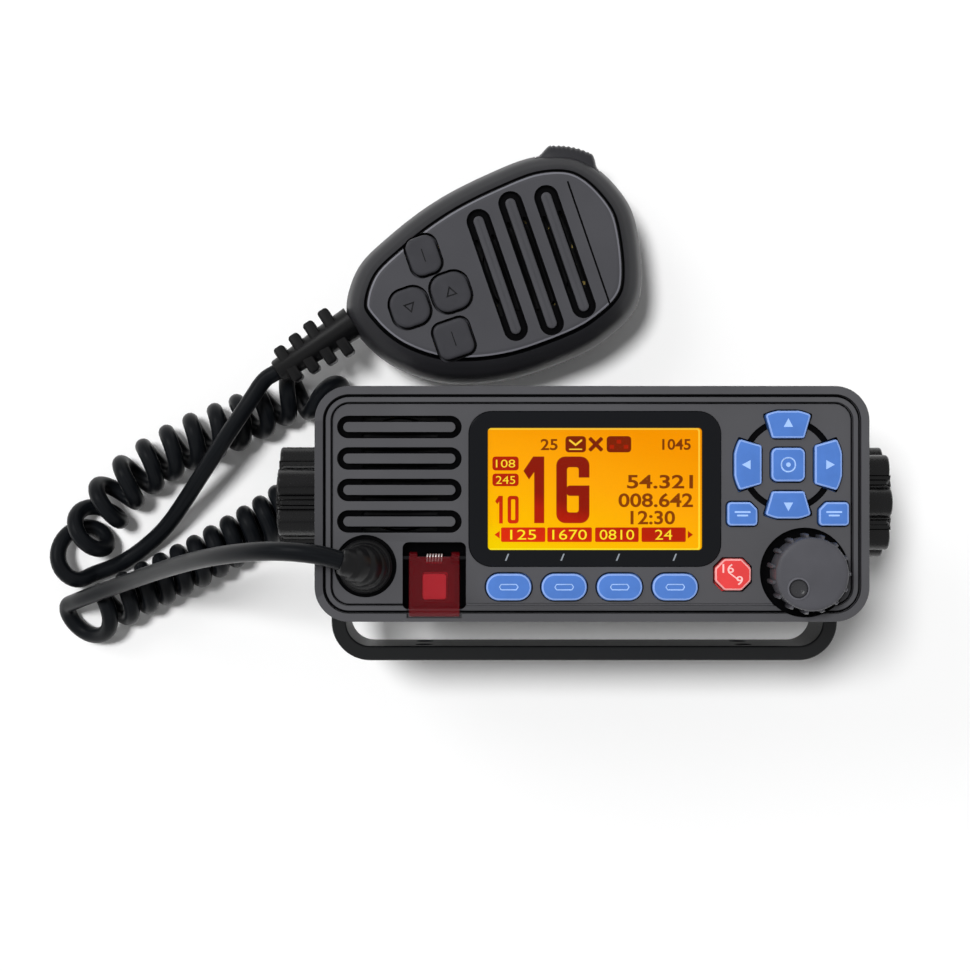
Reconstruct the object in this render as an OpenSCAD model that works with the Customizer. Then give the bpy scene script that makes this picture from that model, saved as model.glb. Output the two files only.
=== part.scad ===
// Fixed-mount marine VHF radio with fist microphone, curly cord and gimbal bracket.
// The radio lies on its heat-sink fins, with its front panel facing +Z and its upper edge towards +Y.
// Millimetres throughout. The origin is the centre of the rear resting face.

/* [Front panel] */
// Width of the front housing
panel_w = 160; // [158:0.5:168]
// Height of the front housing
panel_h = 68; // [67.5:0.5:74]
// Corner radius of the front housing
corner_r = 10; // [7:0.5:12]
// Depth of the front housing, seam to rim
housing_d = 24; // [23:0.5:30]
// Thickness of the front plate
plate_t = 4.4; // [4.2:0.1:5]
// Side wall of the front housing
housing_wall = 3.2; // [2.8:0.1:3.6]
// Height of the rim above the panel face
rim_rise = 1.4; // [1:0.1:2]
// Width of the rim's outer ridge
ridge_out_w = 2.4; // [1.6:0.1:2.6]
// Width of the groove between the rim's ridges
ridge_gap = 0.8; // [0.5:0.1:1]
// Width of the rim's inner ridge
ridge_in_w = 1.4; // [0.8:0.1:1.6]

/* [Display] */
// Distance of the glossy lens frame from the panel's sides
lens_margin = 43.65; // [43.5:0.05:45]
// Height of the glossy lens frame
lens_h = 44.7; // [42:0.1:46]
// Corner radius of the lens frame
lens_r = 6.5; // [4:0.5:9]
// Thickness of the lens frame
lens_t = 1.8; // [1.4:0.1:2.4]
// Height of the lens centre above the panel centre
lens_y = 4.3; // [3.5:0.1:4.6]
// Width of the lens frame beside the visible display
lcd_margin = 5.6; // [4.6:0.1:8]
// Height of the visible display
lcd_h = 34.9; // [32:0.1:37]
// Thickness of the display window
window_t = 1.9; // [1.4:0.1:2]
// Thickness of the display module
module_t = 6; // [4:0.5:7]

/* [Keys] */
// Room between two soft keys
soft_room = 2.8; // [2:0.1:5]
// Height of a soft key
soft_h = 7.8; // [6.5:0.1:8.4]
// Distance of the soft keys below the panel centre
soft_drop = 24; // [23.5:0.1:24.4]
// Distance of the arrow key cross from the panel's right side
cross_edge = 23.4; // [22.8:0.1:24]
// Centre of the arrow key cross, along Y
cross_y = 11.3; // [11:0.1:12]
// Outer radius of the arrow keys
cross_r = 15.9; // [15:0.1:16.2]
// Inner edge of the arrow keys from the cross centre
arrow_in = 7.6; // [7.2:0.1:8.2]
// Width of the OK key
ok_w = 9.8; // [8:0.1:10.2]
// Radius of the ring groove behind the arrow keys
ring_r = 12.7; // [11:0.1:13.5]
// Width of the ring groove
ring_w = 1.8; // [1:0.1:2.4]
// Width of a corner key
corner_key_w = 8.8; // [8:0.1:9]
// Height of a corner key
corner_key_h = 6.9; // [6:0.1:7.2]
// Width of the red channel key
red_w = 10.5; // [9:0.1:11]
// Height of the red channel key
red_h = 9.2; // [8:0.1:9.6]
// Gap between a key and its hole
key_gap = 0.35; // [0.2:0.05:0.45]
// Height of the key tops above the panel face
key_rise = 1.5; // [1:0.1:2]
// Travel of a key
key_travel = 0.8; // [0.5:0.1:0.9]

/* [Speaker slots] */
// Number of speaker slots
slot_n = 4; // [2:1:4]
// Length of a speaker slot
slot_l = 36; // [28:0.5:37]
// Height of a speaker slot
slot_h = 6.5; // [5.5:0.1:7]
// Height of the bar in a speaker slot
slot_bar_h = 2.9; // [2:0.1:3.2]
// Spacing of the speaker slots
slot_pitch = 9.1; // [8.4:0.1:9.2]
// Distance of the speaker slots' middle from the panel's left side
slot_edge = 24.4; // [24:0.1:25.4]
// Centre of the uppermost speaker slot
slot_top_y = 22.2; // [21.8:0.1:22.4]
// Depth of the speaker slots
slot_depth = 2.2; // [1.6:0.1:2.6]
// Radius of the speaker
speaker_r = 16; // [12:0.5:16.5]
// Depth of the speaker
speaker_d = 13; // [9:0.5:14]

/* [Control knob] */
// Distance of the control knob's centre from the panel's right side
knob_edge = 18.5; // [18:0.1:18.7]
// Centre of the control knob, along Y
knob_y = -19.8; // [-20:0.1:-19.4]
// Radius of the control knob's face
knob_r = 10.4; // [9:0.1:10.8]
// Height of the control knob
knob_h = 12.9; // [10:0.1:16]
// Number of grip ribs round the knob
knob_ribs = 15; // [10:1:20]
// How far the ribs stand out
knob_rib_out = 1.5; // [0.8:0.1:1.6]
// Radius of the recess round the knob
knob_recess_r = 12.9; // [12.6:0.1:13]
// Depth of the recess round the knob
knob_recess_d = 2.8; // [2:0.1:3]
// Radius of the encoder shaft
shaft_r = 3; // [2.5:0.1:3.2]

/* [Distress key] */
// Width of the distress bay
bay_w = 18.3; // [17.6:0.1:19]
// Distance of the distress bay's middle from the panel's left side
bay_edge = 34.5; // [34.2:0.1:34.8]
// Upper edge of the distress bay
bay_top = -11.1; // [-11.5:0.1:-11]
// Lower edge of the distress bay
bay_bottom = -30.4; // [-30.6:0.1:-30]
// Depth of the distress bay below the panel face
bay_d = 7; // [6:0.1:7.4]
// Width of the flip cover
cover_w = 14.6; // [13:0.1:15.2]
// Radius of the cover's hinge pin
hinge_pin_r = 0.8; // [0.6:0.05:0.9]
// Width of the distress key
distress_w = 6.9; // [5:0.1:7.4]
// Height of the distress key
distress_h = 7.5; // [6:0.1:8]

/* [Case] */
// How far the die-cast case stays in from the panel's sides
case_in = 12.5; // [12:0.1:16]
// Height of the die-cast case
case_h = 54; // [50:0.5:55]
// Depth of the case body, fin roots to seam
case_d = 71.2; // [68:0.2:76]
// Wall of the case
case_wall = 3; // [2:0.1:3.4]
// Length of the heat-sink fins
fin_l = 16; // [15.6:0.1:20]
// Thickness of a fin
fin_t = 2.2; // [1.6:0.1:3]
// Number of fins
fin_n = 15; // [11:2:17]
// Thickness of the seam gasket
gasket_t = 0.8; // [0.6:0.1:1.2]
// Radius of the antenna socket's thread
socket_r = 7.94; // [7.5:0.01:8.2]
// Length of the antenna socket
socket_l = 10.8; // [8:0.1:11]
// Distance of the rear connectors from the middle
socket_x = 38; // [36:0.5:42]
// Radius of the power cable's passage
cable_bore_r = 2.6; // [2:0.1:3.2]

/* [Bracket] */
// How far the gimbal bracket stands out from the case at each side
bracket_out = 11; // [10.8:0.1:11.4]
// Thickness of the bracket
bracket_t = 4.5; // [3:0.1:4.8]
// Width of the bracket's strap
bracket_strap = 28; // [24:0.5:30]
// Distance from the pivot axis to the bracket's base
bracket_reach = 49; // [48.6:0.1:54]
// Outer bend radius of the bracket
bracket_bend = 12; // [8:0.5:16]
// Height of the pivot axis above the resting face
pivot_z = 52; // [50:0.5:53]
// Radius of the clamp stud
stud_r = 3; // [2.5:0.1:3.5]
// Radius of a clamp knob over its lobes
clamp_r = 17.7; // [15:0.1:18.5]
// Thickness of a clamp knob
clamp_t = 17.4; // [14:0.1:18]
// Number of lobes on a clamp knob
clamp_lobes = 7; // [5:1:8]
// Spacing of the mounting holes along the bracket
mount_x = 100; // [60:1:110]
// Spacing of the mounting holes across the bracket
mount_z = 14; // [10:0.5:16]
// Radius of a mounting hole
mount_r = 2.6; // [2:0.1:3]

/* [Microphone] */
// Centre of the microphone, along X
mic_x = -28; // [-30:0.5:-26]
// Centre of the microphone, along Y
mic_y = 72.6; // [72:0.1:76]
// Height of the microphone's back shell above the surface
mic_lift = 8; // [8:0.5:9]
// Thickness of the back shell
mic_back_d = 12; // [11:0.5:13]
// Depth of the front shell, seam to face
mic_front_d = 18.8; // [16:0.1:20]
// Wall of the microphone's shells
mic_wall = 2.2; // [1.8:0.1:2.6]
// Spacing of the microphone's grille slots
mic_slot_pitch = 11.6; // [10:0.1:12]
// Width of a grille slot
mic_slot_w = 7.4; // [6:0.1:8]
// Width of the bar in a grille slot
mic_bar_w = 3.4; // [2:0.1:3.8]
// Height of the microphone's keys above its face
mic_key_rise = 0.9; // [0.4:0.1:1.5]
// Radius of the hanger button
hanger_r = 8; // [6:0.1:9]

/* [Cord] */
// Diameter of the cable
cord_d = 5.5; // [5:0.1:5.6]

/* [Hidden] */
$fn = 96;
eps = 0.02;

// Levels along Z
z_case = fin_l;
z_flange = z_case + case_d;
z_seam = z_flange + gasket_t;
z_rim = z_seam + housing_d;
z_panel = z_rim - rim_rise;
z_plate = z_panel - plate_t;

// Clearances
run_gap = 0.05;
loose_gap = 0.3;
slide_gap = 0.35;
seat_gap = 0.05;

// Rim
rim_in = ridge_out_w + ridge_gap + ridge_in_w;
panel_in = rim_in + 0.6;
ridge_in_drop = 0.3;

// Lens recess and display stack
lens_x = 0.9;
lens_w = panel_w - 2 * lens_margin;
lcd_w = lens_w - 2 * lcd_margin;
lens_seat = 1.2;
lens_gap = 0.15;
z_lens = z_panel - lens_seat;
lcd_gap = 0.15;
lcd_r = 1;
lcd_opening_grow = 2.5;
lcd_border = 2;
z_module_top = z_lens - 0.4;
module_foot_in = 3;

// Boards
board_t = 1.6;
z_board = z_plate - 8.2;
z_board_top = z_board + board_t;
mat_t = 1.2;
flange_t = 1.1;
flange_out = 1;
small_flange = 0.75;
key_bevel = 0.6;
key_step = 0.5;
dome_r = 2.2;
z_key_low = z_plate - seat_gap - flange_t;
z_mat_top = z_key_low - key_travel - 0.15;
boss_r = 3.2;
board_posts = [
    [-lens_w / 2, 27.5], [lens_w / 2 - 2, 27.5], [panel_w / 2 - 29.5, -27.5], [-lens_w / 2, -7.4]];
board_post_r = 2;

// Soft keys
soft_pitch = 0.22 * lens_w;
soft_w = soft_pitch - soft_room;
soft_xs = [for (i = [0:3]) (i - 1.5) * soft_pitch];

// Arrow keys
cross_x = panel_w / 2 - cross_edge;
arrow_half = [5.2, 6.1];
arrow_taper = 1.8;
arrow_corner = 1.5;

// Corner keys
corner_dx = 13.2;
corner_dy = 14.2;
corner_cut = 1.4;

// Red key
red_x = panel_w / 2 - 39.35;
red_y = -20.4;
red_cut = 2.4;

// Speaker slots
slot_x = slot_edge - panel_w / 2;
slot_mid_y = slot_top_y - 1.5 * slot_pitch;

// Knob
knob_x = panel_w / 2 - knob_edge;
knob_skirt = 1.8;
knob_top_t = 2.4;
dimple_r = 2.7;
dimple_at = 4;
dimple_deep = 1.1;
plunger_r = 4.5;
plunger_t = 1;
plunger_travel = 0.6;
z_knob = z_rim + plunger_travel + 0.1;
encoder_side = 11;
bushing_r = 4.5;
z_encoder = z_board_top;
encoder_t = 6;
z_plunger = z_encoder + 0.8 + plunger_travel + 0.2;
shaft_l = z_knob + knob_h - knob_top_t - z_plunger - plunger_t - 0.4;

// Distress bay
bay_x = bay_edge - panel_w / 2;
bay_wall = 1.2;
bay_floor = 1.5;
z_bay = z_panel - bay_d;
hinge_y = bay_top - 4.5;
z_hinge = z_panel - 1.9;
cover_bottom = bay_bottom - 2.1;
cover_t = 1.5;
cover_rise = 2;
cover_skirt = 1.2;
barrel_r = hinge_pin_r + 0.9;
knuckle_l = 2.4;
spring_wire = 0.5;
spring_r = 1.5;
spring_turns = 5;
spring_pitch = 1;
distress_cy = bay_bottom + 6.35;

// Cord gland on the radio
gland_x = 14.6 - panel_w / 2;
gland_y = -18;
gland_r = 7.8;
gland_ring_r = 9;
gland_hole_r = 4.6;
gland_nut_r = 5.8;
gland_nut_t = 2;
gland_base_h = 3.4;
gland_bend_r = 9;
gland_tilt = 75;
gland_turn = 163;
gland_steps = 7;
gland_tip_r = 4;

// Case details
case_w = panel_w - 2 * case_in;
case_r = 6;
flange_w = panel_w - 3;
flange_h = panel_h - 3;
flange_l = 3.2;
fin_side = 5;
fin_pitch = (case_w - 2 * fin_side - fin_t) / (fin_n - 1);
pocket = 17;
screw_r = 1.5;
screw_head_r = 2.8;
screw_x = panel_w / 2 - 9.4;
screw_y = panel_h / 2 - 8.4;
post_r = 3;
z_post = z_case + 26;
post_x = case_w / 2 - 11.5;
post_y = case_h / 2 - 9;

// Clamp stack, from the case outwards
bracket_w = case_w + 2 * bracket_out;
arm_x = bracket_w / 2 - bracket_t;
washer_t = 1.6;
washer_r = 11;
pad_r = 12;
pad_out = arm_x - washer_t;
hub_r = 8.5;
arm_r = bracket_strap / 2;

// Microphone outline: control points round the seam, in the microphone's own axes
mic_ctrl = [
    [50.8, 2], [48.5, 17], [40, 29.5], [26, 34.8], [8, 34.3], [-10, 31.5], [-27, 26], [-41, 19],
    [-49.3, 7], [-47.5, -4], [-40, -16], [-27, -26], [-10, -31.5], [8, -32.8], [28, -30.5], [44, -21]];
mic_sub = 3;
mic_turn = 19;
z_mic_back = mic_lift;
z_mic_seam = mic_lift + mic_back_d;
z_mic_face = z_mic_seam + mic_front_d;
mic_slot_u = 1.3;
mic_slot_ls = [44.2, 48.4, 44.6];
mic_slot_d = 1.4;
mic_face_in = 7.9;
mic_key_us = [-19.2, -14.7, -28.8, -18.7];
mic_key_vs = [14.1, 0.1, -0.4, -14.6];
mic_key_ws = [9.8, 12.2, 12.2, 11.6];
mic_key_hs = [12.6, 12.4, 12.4, 12];
mic_key_rs = [3.4, 4.6, 4.6, 2.8];
mic_screw_us = [-39, -33, 28, 30];
mic_screw_vs = [7, -12, 21, -20];
mic_screw_r = 1.2;
mic_head_r = 2.6;
mic_head_t = 1.2;
mic_post_r = 2.6;
mic_plate = 4.4;
mic_flange = 0.6;
mic_travel = 0.6;
z_mic_ceiling = z_mic_face - mic_plate;
z_mic_key = z_mic_ceiling - seat_gap - flange_t;
z_mic_board = z_mic_ceiling - 4.2;
mic_speaker_u = mic_slot_u + 10;
mic_speaker_r = 14;
hanger_u = 8;
ptt_u = 37.5;
ptt_v = 31.5;
ptt_turn = 56;
ptt_w = 21;
ptt_h = 9;
ptt_out = 3.1;
ptt_in = [5, 6.2];
z_ptt = z_mic_seam + 2;
ptt_lip = 1;

// Strain relief on the microphone
relief_z = 24.5;
relief_from = [-74.5, 59.2];
relief_tip = [-99.6, 42.8];
relief_r = 5.6;
relief_tip_r = 3.7;
relief_tabs = 4;

// Cord: hand-chosen points along the radio lead, from the gland's tip towards the first curl
radio_route = [
    [-84.5, -13.4, 124.4], [-94, -13.2, 120], [-105, -14.6, 108], [-113, -16, 96],
    [-121, -18, 82], [-128.5, -20.1, 67.5], [-135.5, -22.2, 54.5], [-142.5, -24.5, 42.5],
    [-150, -27, 31], [-162.5, -31.4, 19.7]];
// Hand-chosen points along the microphone lead, from the relief's tip towards the last curl
mic_route = [
    [-108, 33.5, 25.5], [-113.6, 25.5, 25], [-119.8, 16.5, 23], [-126.2, 7.5, 18.5],
    [-132.8, -1.5, 12.5], [-139, -9.5, 7.2], [-146.5, -15.7, 4], [-154.5, -21.5, 3.3]];
// Hand-chosen points under the middle of the curls, from the radio's end to the microphone's end
coil_route = [
    [-168.5, -41.5], [-158, -36], [-144, -28.5], [-130, -21.5], [-116, -13.5], [-103, -5.5],
    [-91, 3], [-81.5, 13], [-78, 24.5], [-84.5, 35], [-97, 35.5], [-112, 27.5], [-129, 20.5],
    [-144, 12], [-157, 0.5], [-167.5, -16]];
// Pitch, curl radius and lean of the curls, against the number of the route's point
coil_pitch = [
    [0, 12.5], [0.9, 11], [1.4, 8], [2, 6.7], [5.6, 6.5], [6.4, 8.6], [7, 13.5], [9.2, 14],
    [9.8, 11], [10.6, 8.5], [13, 8.5], [14.2, 10.4], [15, 11]];
coil_r = [[0, 7.4], [0.6, 7], [1.2, 6.1], [5, 6.1], [9, 6.3], [11, 6.6], [14, 6.6], [15, 7]];
coil_lean = [
    [0, 50], [0.4, 44], [1, 24], [1.8, 14], [5.5, 10], [7, 0], [9, -6], [11, -18], [13, -18],
    [14, 2], [14.6, 34], [15, 62]];
curls = 27;
coil_start = 10;
coil_rings = 8;
coil_sides = 6;
coil_fine = 4;
floor_gap = 0.05;
lead_sides = 10;

// ---- Functions ----
function unit(v) = v / norm(v);
function smooth(p0, p1, p2, p3, f) =
    0.5 * (2 * p1 + (p2 - p0) * f + (2 * p0 - 5 * p1 + 4 * p2 - p3) * f * f
    + (3 * p1 - p0 - 3 * p2 + p3) * f * f * f);
function route_at(p, u) =
    let (n = len(p) - 1, i = max(0, min(floor(u), n - 1)), a = p[i], b = p[i + 1])
    smooth(i > 0 ? p[i - 1] : 2 * a - b, a, b, i < n - 1 ? p[i + 2] : 2 * b - a, u - i);
function route_step(p, u) = (route_at(p, u + 0.01) - route_at(p, u - 0.01)) / 0.02;

// Centre of the curl, its sideways direction and its leaning upward direction
function curl_frame(u) =
    let (c = route_at(coil_route, u), h = unit(route_step(coil_route, u)),
        r = lookup(u, coil_r), lean = lookup(u, coil_lean))
    [[c.x, c.y, cord_d / 2 + floor_gap + r * cos(lean)], [-h.y, h.x, 0],
        [h.x * sin(lean), h.y * sin(lean), cos(lean)], r];
function curl_out(u, turn) = let (f = curl_frame(u)) cos(turn) * f[1] + sin(turn) * f[2];
function curl_point(u, turn) = let (f = curl_frame(u)) f[0] + f[3] * curl_out(u, turn);

// Left-handed helix: pairs of route position and turn, in fine steps
coil_steps = coil_rings * coil_fine;
coil_walk = [
    for (k = 0, u = 0, turn = coil_start;
        k <= round(curls * coil_steps);
        u = u + lookup(u, coil_pitch) / coil_steps / norm(route_step(coil_route, u)),
        turn = turn - 360 / coil_steps,
        k = k + 1) [u, turn]];
coil_fine_pts = [for (w = coil_walk) curl_point(w[0], w[1])];
coil_last = len(coil_walk) - 1;
coil_in = unit(coil_fine_pts[1] - coil_fine_pts[0]);
coil_out = unit(coil_fine_pts[coil_last] - coil_fine_pts[coil_last - 1]);
coil_start_pt = coil_fine_pts[0] - cord_d * coil_in;
coil_end_pt = coil_fine_pts[coil_last] + cord_d * coil_out;
coil_picks = [for (k = [0:coil_fine:coil_last]) k];

// Least gap of the curls to each other, on every second fine point
gap_pts = [for (k = [0:2:coil_last]) coil_fine_pts[k]];
gap_skip = coil_steps / 4;
coil_gap = min([
    for (i = [0:len(gap_pts) - 1 - gap_skip])
        min([for (j = [i + gap_skip:len(gap_pts) - 1]) norm(gap_pts[i] - gap_pts[j])])]) - cord_d;

// Gland tip and relief tip, where the leads start
gland_h = [cos(gland_turn), sin(gland_turn), 0];
z_gland_bend = z_panel + gland_base_h;
function gland_at(a) =
    [gland_x, gland_y, z_gland_bend] + gland_bend_r * ((1 - cos(a)) * gland_h + [0, 0, sin(a)]);
gland_dir = sin(gland_tilt) * gland_h + [0, 0, cos(gland_tilt)];
gland_tip = gland_at(gland_tilt);
relief_v = relief_tip - relief_from;
relief_l = norm(relief_v);
relief_dir = [relief_v.x, relief_v.y, 0] / relief_l;
relief_end = [relief_tip.x, relief_tip.y, relief_z];

radio_path = concat(
    [gland_tip, gland_tip + cord_d * gland_dir], radio_route, [coil_start_pt]);
mic_path = concat(
    [relief_end, relief_end + cord_d * relief_dir], mic_route, [coil_end_pt]);

// Tangents along a list of points, with given ones at the ends
function tangents(p, first, last) = [
    for (i = [0:len(p) - 1])
        i == 0 ? first : i == len(p) - 1 ? last : unit(p[i + 1] - p[i - 1])];

// Ring of a swept tube: centre, direction along it, and a direction that fixes its turn
function ring(c, t, ref, r, sides) =
    let (a = unit(ref - (ref * t) * t), b = cross(t, a))
    [for (i = [0:sides - 1]) c + r * (cos(i * 360 / sides) * a + sin(i * 360 / sides) * b)];

// Length of a list of points
function path_length(p, i = 1) = i >= len(p) ? 0 : norm(p[i] - p[i - 1]) + path_length(p, i + 1);

echo(str("least gap of the curly cord to itself, mm: ", coil_gap));
echo(str("lengths of the radio lead and the microphone lead, mm: ", path_length(radio_path), ", ",
    path_length(mic_path)));

// ---- Helpers ----
// Tube through rings of points, closed by a flat face at each end
module tube(rings) {
    n = len(rings);
    s = len(rings[0]);
    polyhedron(
        points = [for (r = rings) each r],
        faces = concat(
            [[for (i = [0:s - 1]) i], [for (i = [s - 1:-1:0]) (n - 1) * s + i]],
            [for (k = [0:n - 2], i = [0:s - 1]) let (j = (i + 1) % s)
                [k * s + i, (k + 1) * s + i, (k + 1) * s + j]],
            [for (k = [0:n - 2], i = [0:s - 1]) let (j = (i + 1) % s)
                [k * s + i, (k + 1) * s + j, k * s + j]]));
}

// Convex outline with round corners: corner centres in anticlockwise order
module round_poly(p, r) {
    n = len(p);
    polygon([
        for (i = [0:n - 1]) let (a = p[i], b = p[(i + 1) % n], d = unit(b - a), m = [d.y, -d.x])
            each [a + m * r, b + m * r]]);
    for (q = p) {
        translate(q) circle(r = r);
    }
}

module round_rect(w, h, r) {
    x = w / 2 - r;
    y = h / 2 - r;
    round_poly([[-x, -y], [x, -y], [x, y], [-x, y]], r);
}

// Rounded block, standing on z
module block(w, h, r, z, d) {
    translate([0, 0, z]) linear_extrude(d) round_rect(w, h, r);
}

module stadium(l, h) {
    x = (l - h) / 2;
    square([2 * x, h], center = true);
    for (s = [-1, 1]) {
        translate([s * x, 0]) circle(d = h);
    }
}

module frame(w, h, r, in1, in2, z, d) {
    difference() {
        block(w - 2 * in1, h - 2 * in1, r - in1, z, d);
        block(w - 2 * in2, h - 2 * in2, max(r - in2, 1), z - eps, d + 2 * eps);
    }
}

// ---- Key outlines ----
module soft_outline(g = 0) {
    stadium(soft_w + 2 * g, soft_h + 2 * g);
}

// Arrow key pointing up; the side keys are the longer ones
module arrow_outline(half, g = 0) {
    low = arrow_in + arrow_corner;
    high = cross_r - arrow_corner - 0.3;
    intersection() {
        round_poly([
            [arrow_taper - half, low], [half - arrow_taper, low], [half, high], [-half, high]],
            arrow_corner + g);
        circle(r = cross_r + g);
    }
}

module ok_outline(g = 0) {
    round_rect(ok_w + 2 * g, ok_w + 2 * g, 1.8 + g);
}

module corner_outline(g = 0) {
    x = corner_key_w / 2 - 1.2;
    y = corner_key_h / 2 - 1.2;
    c = corner_cut;
    round_poly([[-x, -y], [x, -y], [x, y - c], [x - c, y], [-x, y]], 1.2 + g);
}

module red_outline(g = 0) {
    chamfer_from_middle = (red_w + red_h - 2 * red_cut) / 2 / sqrt(2) + g;
    intersection() {
        round_rect(red_w + 2 * g, red_h + 2 * g, 1 + g);
        rotate(45) square(2 * chamfer_from_middle, center = true);
    }
}

// Places of the keys
module at_arrow(i) {
    translate([cross_x, cross_y]) rotate(-90 * i) children();
}

module at_corner(s) {
    translate([cross_x + s * corner_dx, cross_y - corner_dy]) mirror([s > 0 ? 1 : 0, 0]) children();
}

// Every key hole in the panel, grown by a gap
module key_outlines(g) {
    for (x = soft_xs) {
        translate([x, -soft_drop]) soft_outline(g);
    }
    for (i = [0:3]) {
        at_arrow(i) arrow_outline(arrow_half[i % 2], g);
    }
    translate([cross_x, cross_y]) ok_outline(g);
    for (s = [-1, 1]) {
        at_corner(s) corner_outline(g);
    }
    translate([red_x, red_y]) red_outline(g);
}

// Key cap with a bevelled top and a flange that holds it under the plate
module key_body(top) {
    translate([0, 0, z_key_low]) linear_extrude(flange_t) children(1);
    translate([0, 0, z_key_low]) linear_extrude(top - z_key_low - key_step) children(0);
    translate([0, 0, top - key_step - eps]) linear_extrude(key_step + eps) children(2);
}

// ---- Front of the radio ----
module front_housing() color("#3e3e41") {
    slot_ys = [for (i = [0:slot_n - 1]) slot_top_y - i * slot_pitch];
    bay_cy = (bay_top + bay_bottom) / 2;
    bay_h = bay_top - bay_bottom;
    difference() {
        union() {
            difference() {
                block(panel_w, panel_h, corner_r, z_seam, z_panel - z_seam);
                block(panel_w - 2 * housing_wall, panel_h - 2 * housing_wall,
                    corner_r - housing_wall, z_seam - 1, z_plate - z_seam + 1);
            }
            frame(panel_w, panel_h, corner_r, 0, ridge_out_w, z_panel - eps, rim_rise + eps);
            frame(panel_w, panel_h, corner_r, ridge_out_w + ridge_gap, rim_in, z_panel - eps,
                rim_rise - ridge_in_drop + eps);
            // Walls and floor of the distress bay
            translate([bay_x, bay_cy, 0])
                block(bay_w + 2 * bay_wall, bay_h + 2 * bay_wall, 2.5, z_bay - bay_floor,
                    bay_d + bay_floor - eps);
            // Screw bosses in the corners and posts that the board sits against
            for (x = [-screw_x, screw_x], y = [-screw_y, screw_y]) {
                translate([x, y, z_seam + 2]) cylinder(r = boss_r, h = z_plate - z_seam - 2 + eps);
            }
            for (p = board_posts) {
                translate([p.x, p.y, z_board_top])
                    cylinder(r = board_post_r, h = z_plate - z_board_top + eps);
            }
        }
        // Groove between the ridges and step round the panel
        frame(panel_w, panel_h, corner_r, ridge_out_w, ridge_out_w + ridge_gap, z_panel - 0.5, 3);
        frame(panel_w, panel_h, corner_r, rim_in, panel_in, z_panel - 0.4, 3);
        // Lens seat and display opening
        translate([lens_x, lens_y, 0]) {
            block(lens_w + 2 * lens_gap, lens_h + 2 * lens_gap, lens_r + lens_gap, z_lens, 5);
            block(lcd_w + 2 * lcd_opening_grow, lcd_h + 2 * lcd_opening_grow, 2, z_plate - 1, 9);
        }
        // Speaker slots round their bars, with a slit above and below each bar
        for (y = slot_ys) {
            translate([slot_x, y, z_panel - slot_depth]) linear_extrude(slot_depth + 3)
                difference() {
                    stadium(slot_l, slot_h);
                    stadium(slot_l - (slot_h - slot_bar_h), slot_bar_h);
                }
            for (s = [-1, 1]) {
                translate([slot_x, y + s * (slot_bar_h + slot_h) / 4, z_plate - 1])
                    linear_extrude(plate_t) stadium(slot_l - 14, 1);
            }
        }
        // Key holes and the ring groove behind the arrows
        translate([0, 0, z_plate - 1]) linear_extrude(plate_t + 3) key_outlines(key_gap);
        translate([cross_x, cross_y, z_panel - 1]) difference() {
            cylinder(r = ring_r + ring_w / 2, h = 3);
            translate([0, 0, -eps]) cylinder(r = ring_r - ring_w / 2, h = 4);
        }
        // Knob recess and bushing hole
        translate([knob_x, knob_y, z_panel - knob_recess_d])
            cylinder(r = knob_recess_r, h = knob_recess_d + 3);
        translate([knob_x, knob_y, z_plate - 1]) cylinder(r = bushing_r + 0.1, h = 9);
        // Distress bay, its key hole, its pin holes and the notch for the cover's lip
        translate([bay_x, bay_cy, 0]) block(bay_w, bay_h, 1.7, z_bay, bay_d + 5);
        translate([bay_x, distress_cy, 0])
            block(distress_w + 2 * key_gap, distress_h + 2 * key_gap, 1, z_bay - 5, 9);
        translate([bay_x - bay_w / 2 - bay_wall / 2, hinge_y, z_hinge]) rotate([0, 90, 0])
            cylinder(r = hinge_pin_r, h = bay_w + bay_wall);
        translate([bay_x - cover_w / 2 - 0.6, cover_bottom - 0.4, z_panel])
            cube([cover_w + 1.2, 4, 4]);
        // Gland recess and passage
        translate([gland_x, gland_y, z_panel - 1]) cylinder(r = gland_ring_r, h = 4);
        translate([gland_x, gland_y, z_plate - 1]) cylinder(r = gland_hole_r, h = 9);
        // Screw holes, blind
        for (x = [-screw_x, screw_x], y = [-screw_y, screw_y]) {
            translate([x, y, z_seam - 2]) cylinder(r = screw_r, h = 14);
        }
    }
}

module lens_frame() color("#101113") {
    translate([lens_x, lens_y, 0]) difference() {
        block(lens_w, lens_h, lens_r, z_lens, lens_t);
        block(lcd_w + 2 * lcd_gap, lcd_h + 2 * lcd_gap, lcd_r, z_lens - 1, lens_t + 2);
    }
}

module lcd_window() color("#ffe9b0", 0.4) {
    translate([lens_x, lens_y, 0])
        block(lcd_w, lcd_h, lcd_r - lcd_gap, z_module_top, window_t);
}

module lcd_module() color("#ffb014") {
    translate([lens_x, lens_y, 0]) {
        block(lcd_w + 2 * lcd_border, lcd_h + 2 * lcd_border, 1.5, z_module_top - module_t, module_t);
        block(lcd_w - 2 * module_foot_in, lcd_h - 2 * module_foot_in, 1.5, z_board_top,
            z_module_top - module_t - z_board_top + eps);
    }
}

module front_board() color("#2f6b3c") {
    difference() {
        translate([0, 0, z_board]) linear_extrude(board_t) difference() {
            round_rect(panel_w - 2 * housing_wall - 1, panel_h - 2 * housing_wall - 1, 6);
            translate([slot_x, slot_mid_y]) circle(r = speaker_r + 0.8);
            translate([gland_x, gland_y]) circle(r = gland_nut_r + 0.6);
            for (x = [-screw_x, screw_x], y = [-screw_y, screw_y]) {
                translate([x, y]) circle(r = boss_r + 0.4);
            }
        }
    }
}

module speaker_shape(r, d) {
    rotate_extrude() polygon([
        [0, 0], [r * 0.5, 0], [r * 0.5, d * 0.45], [r * 0.86, d * 0.72], [r, d * 0.8],
        [r, d], [r * 0.9, d], [r * 0.35, d * 0.62], [0, d * 0.7]]);
}

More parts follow.
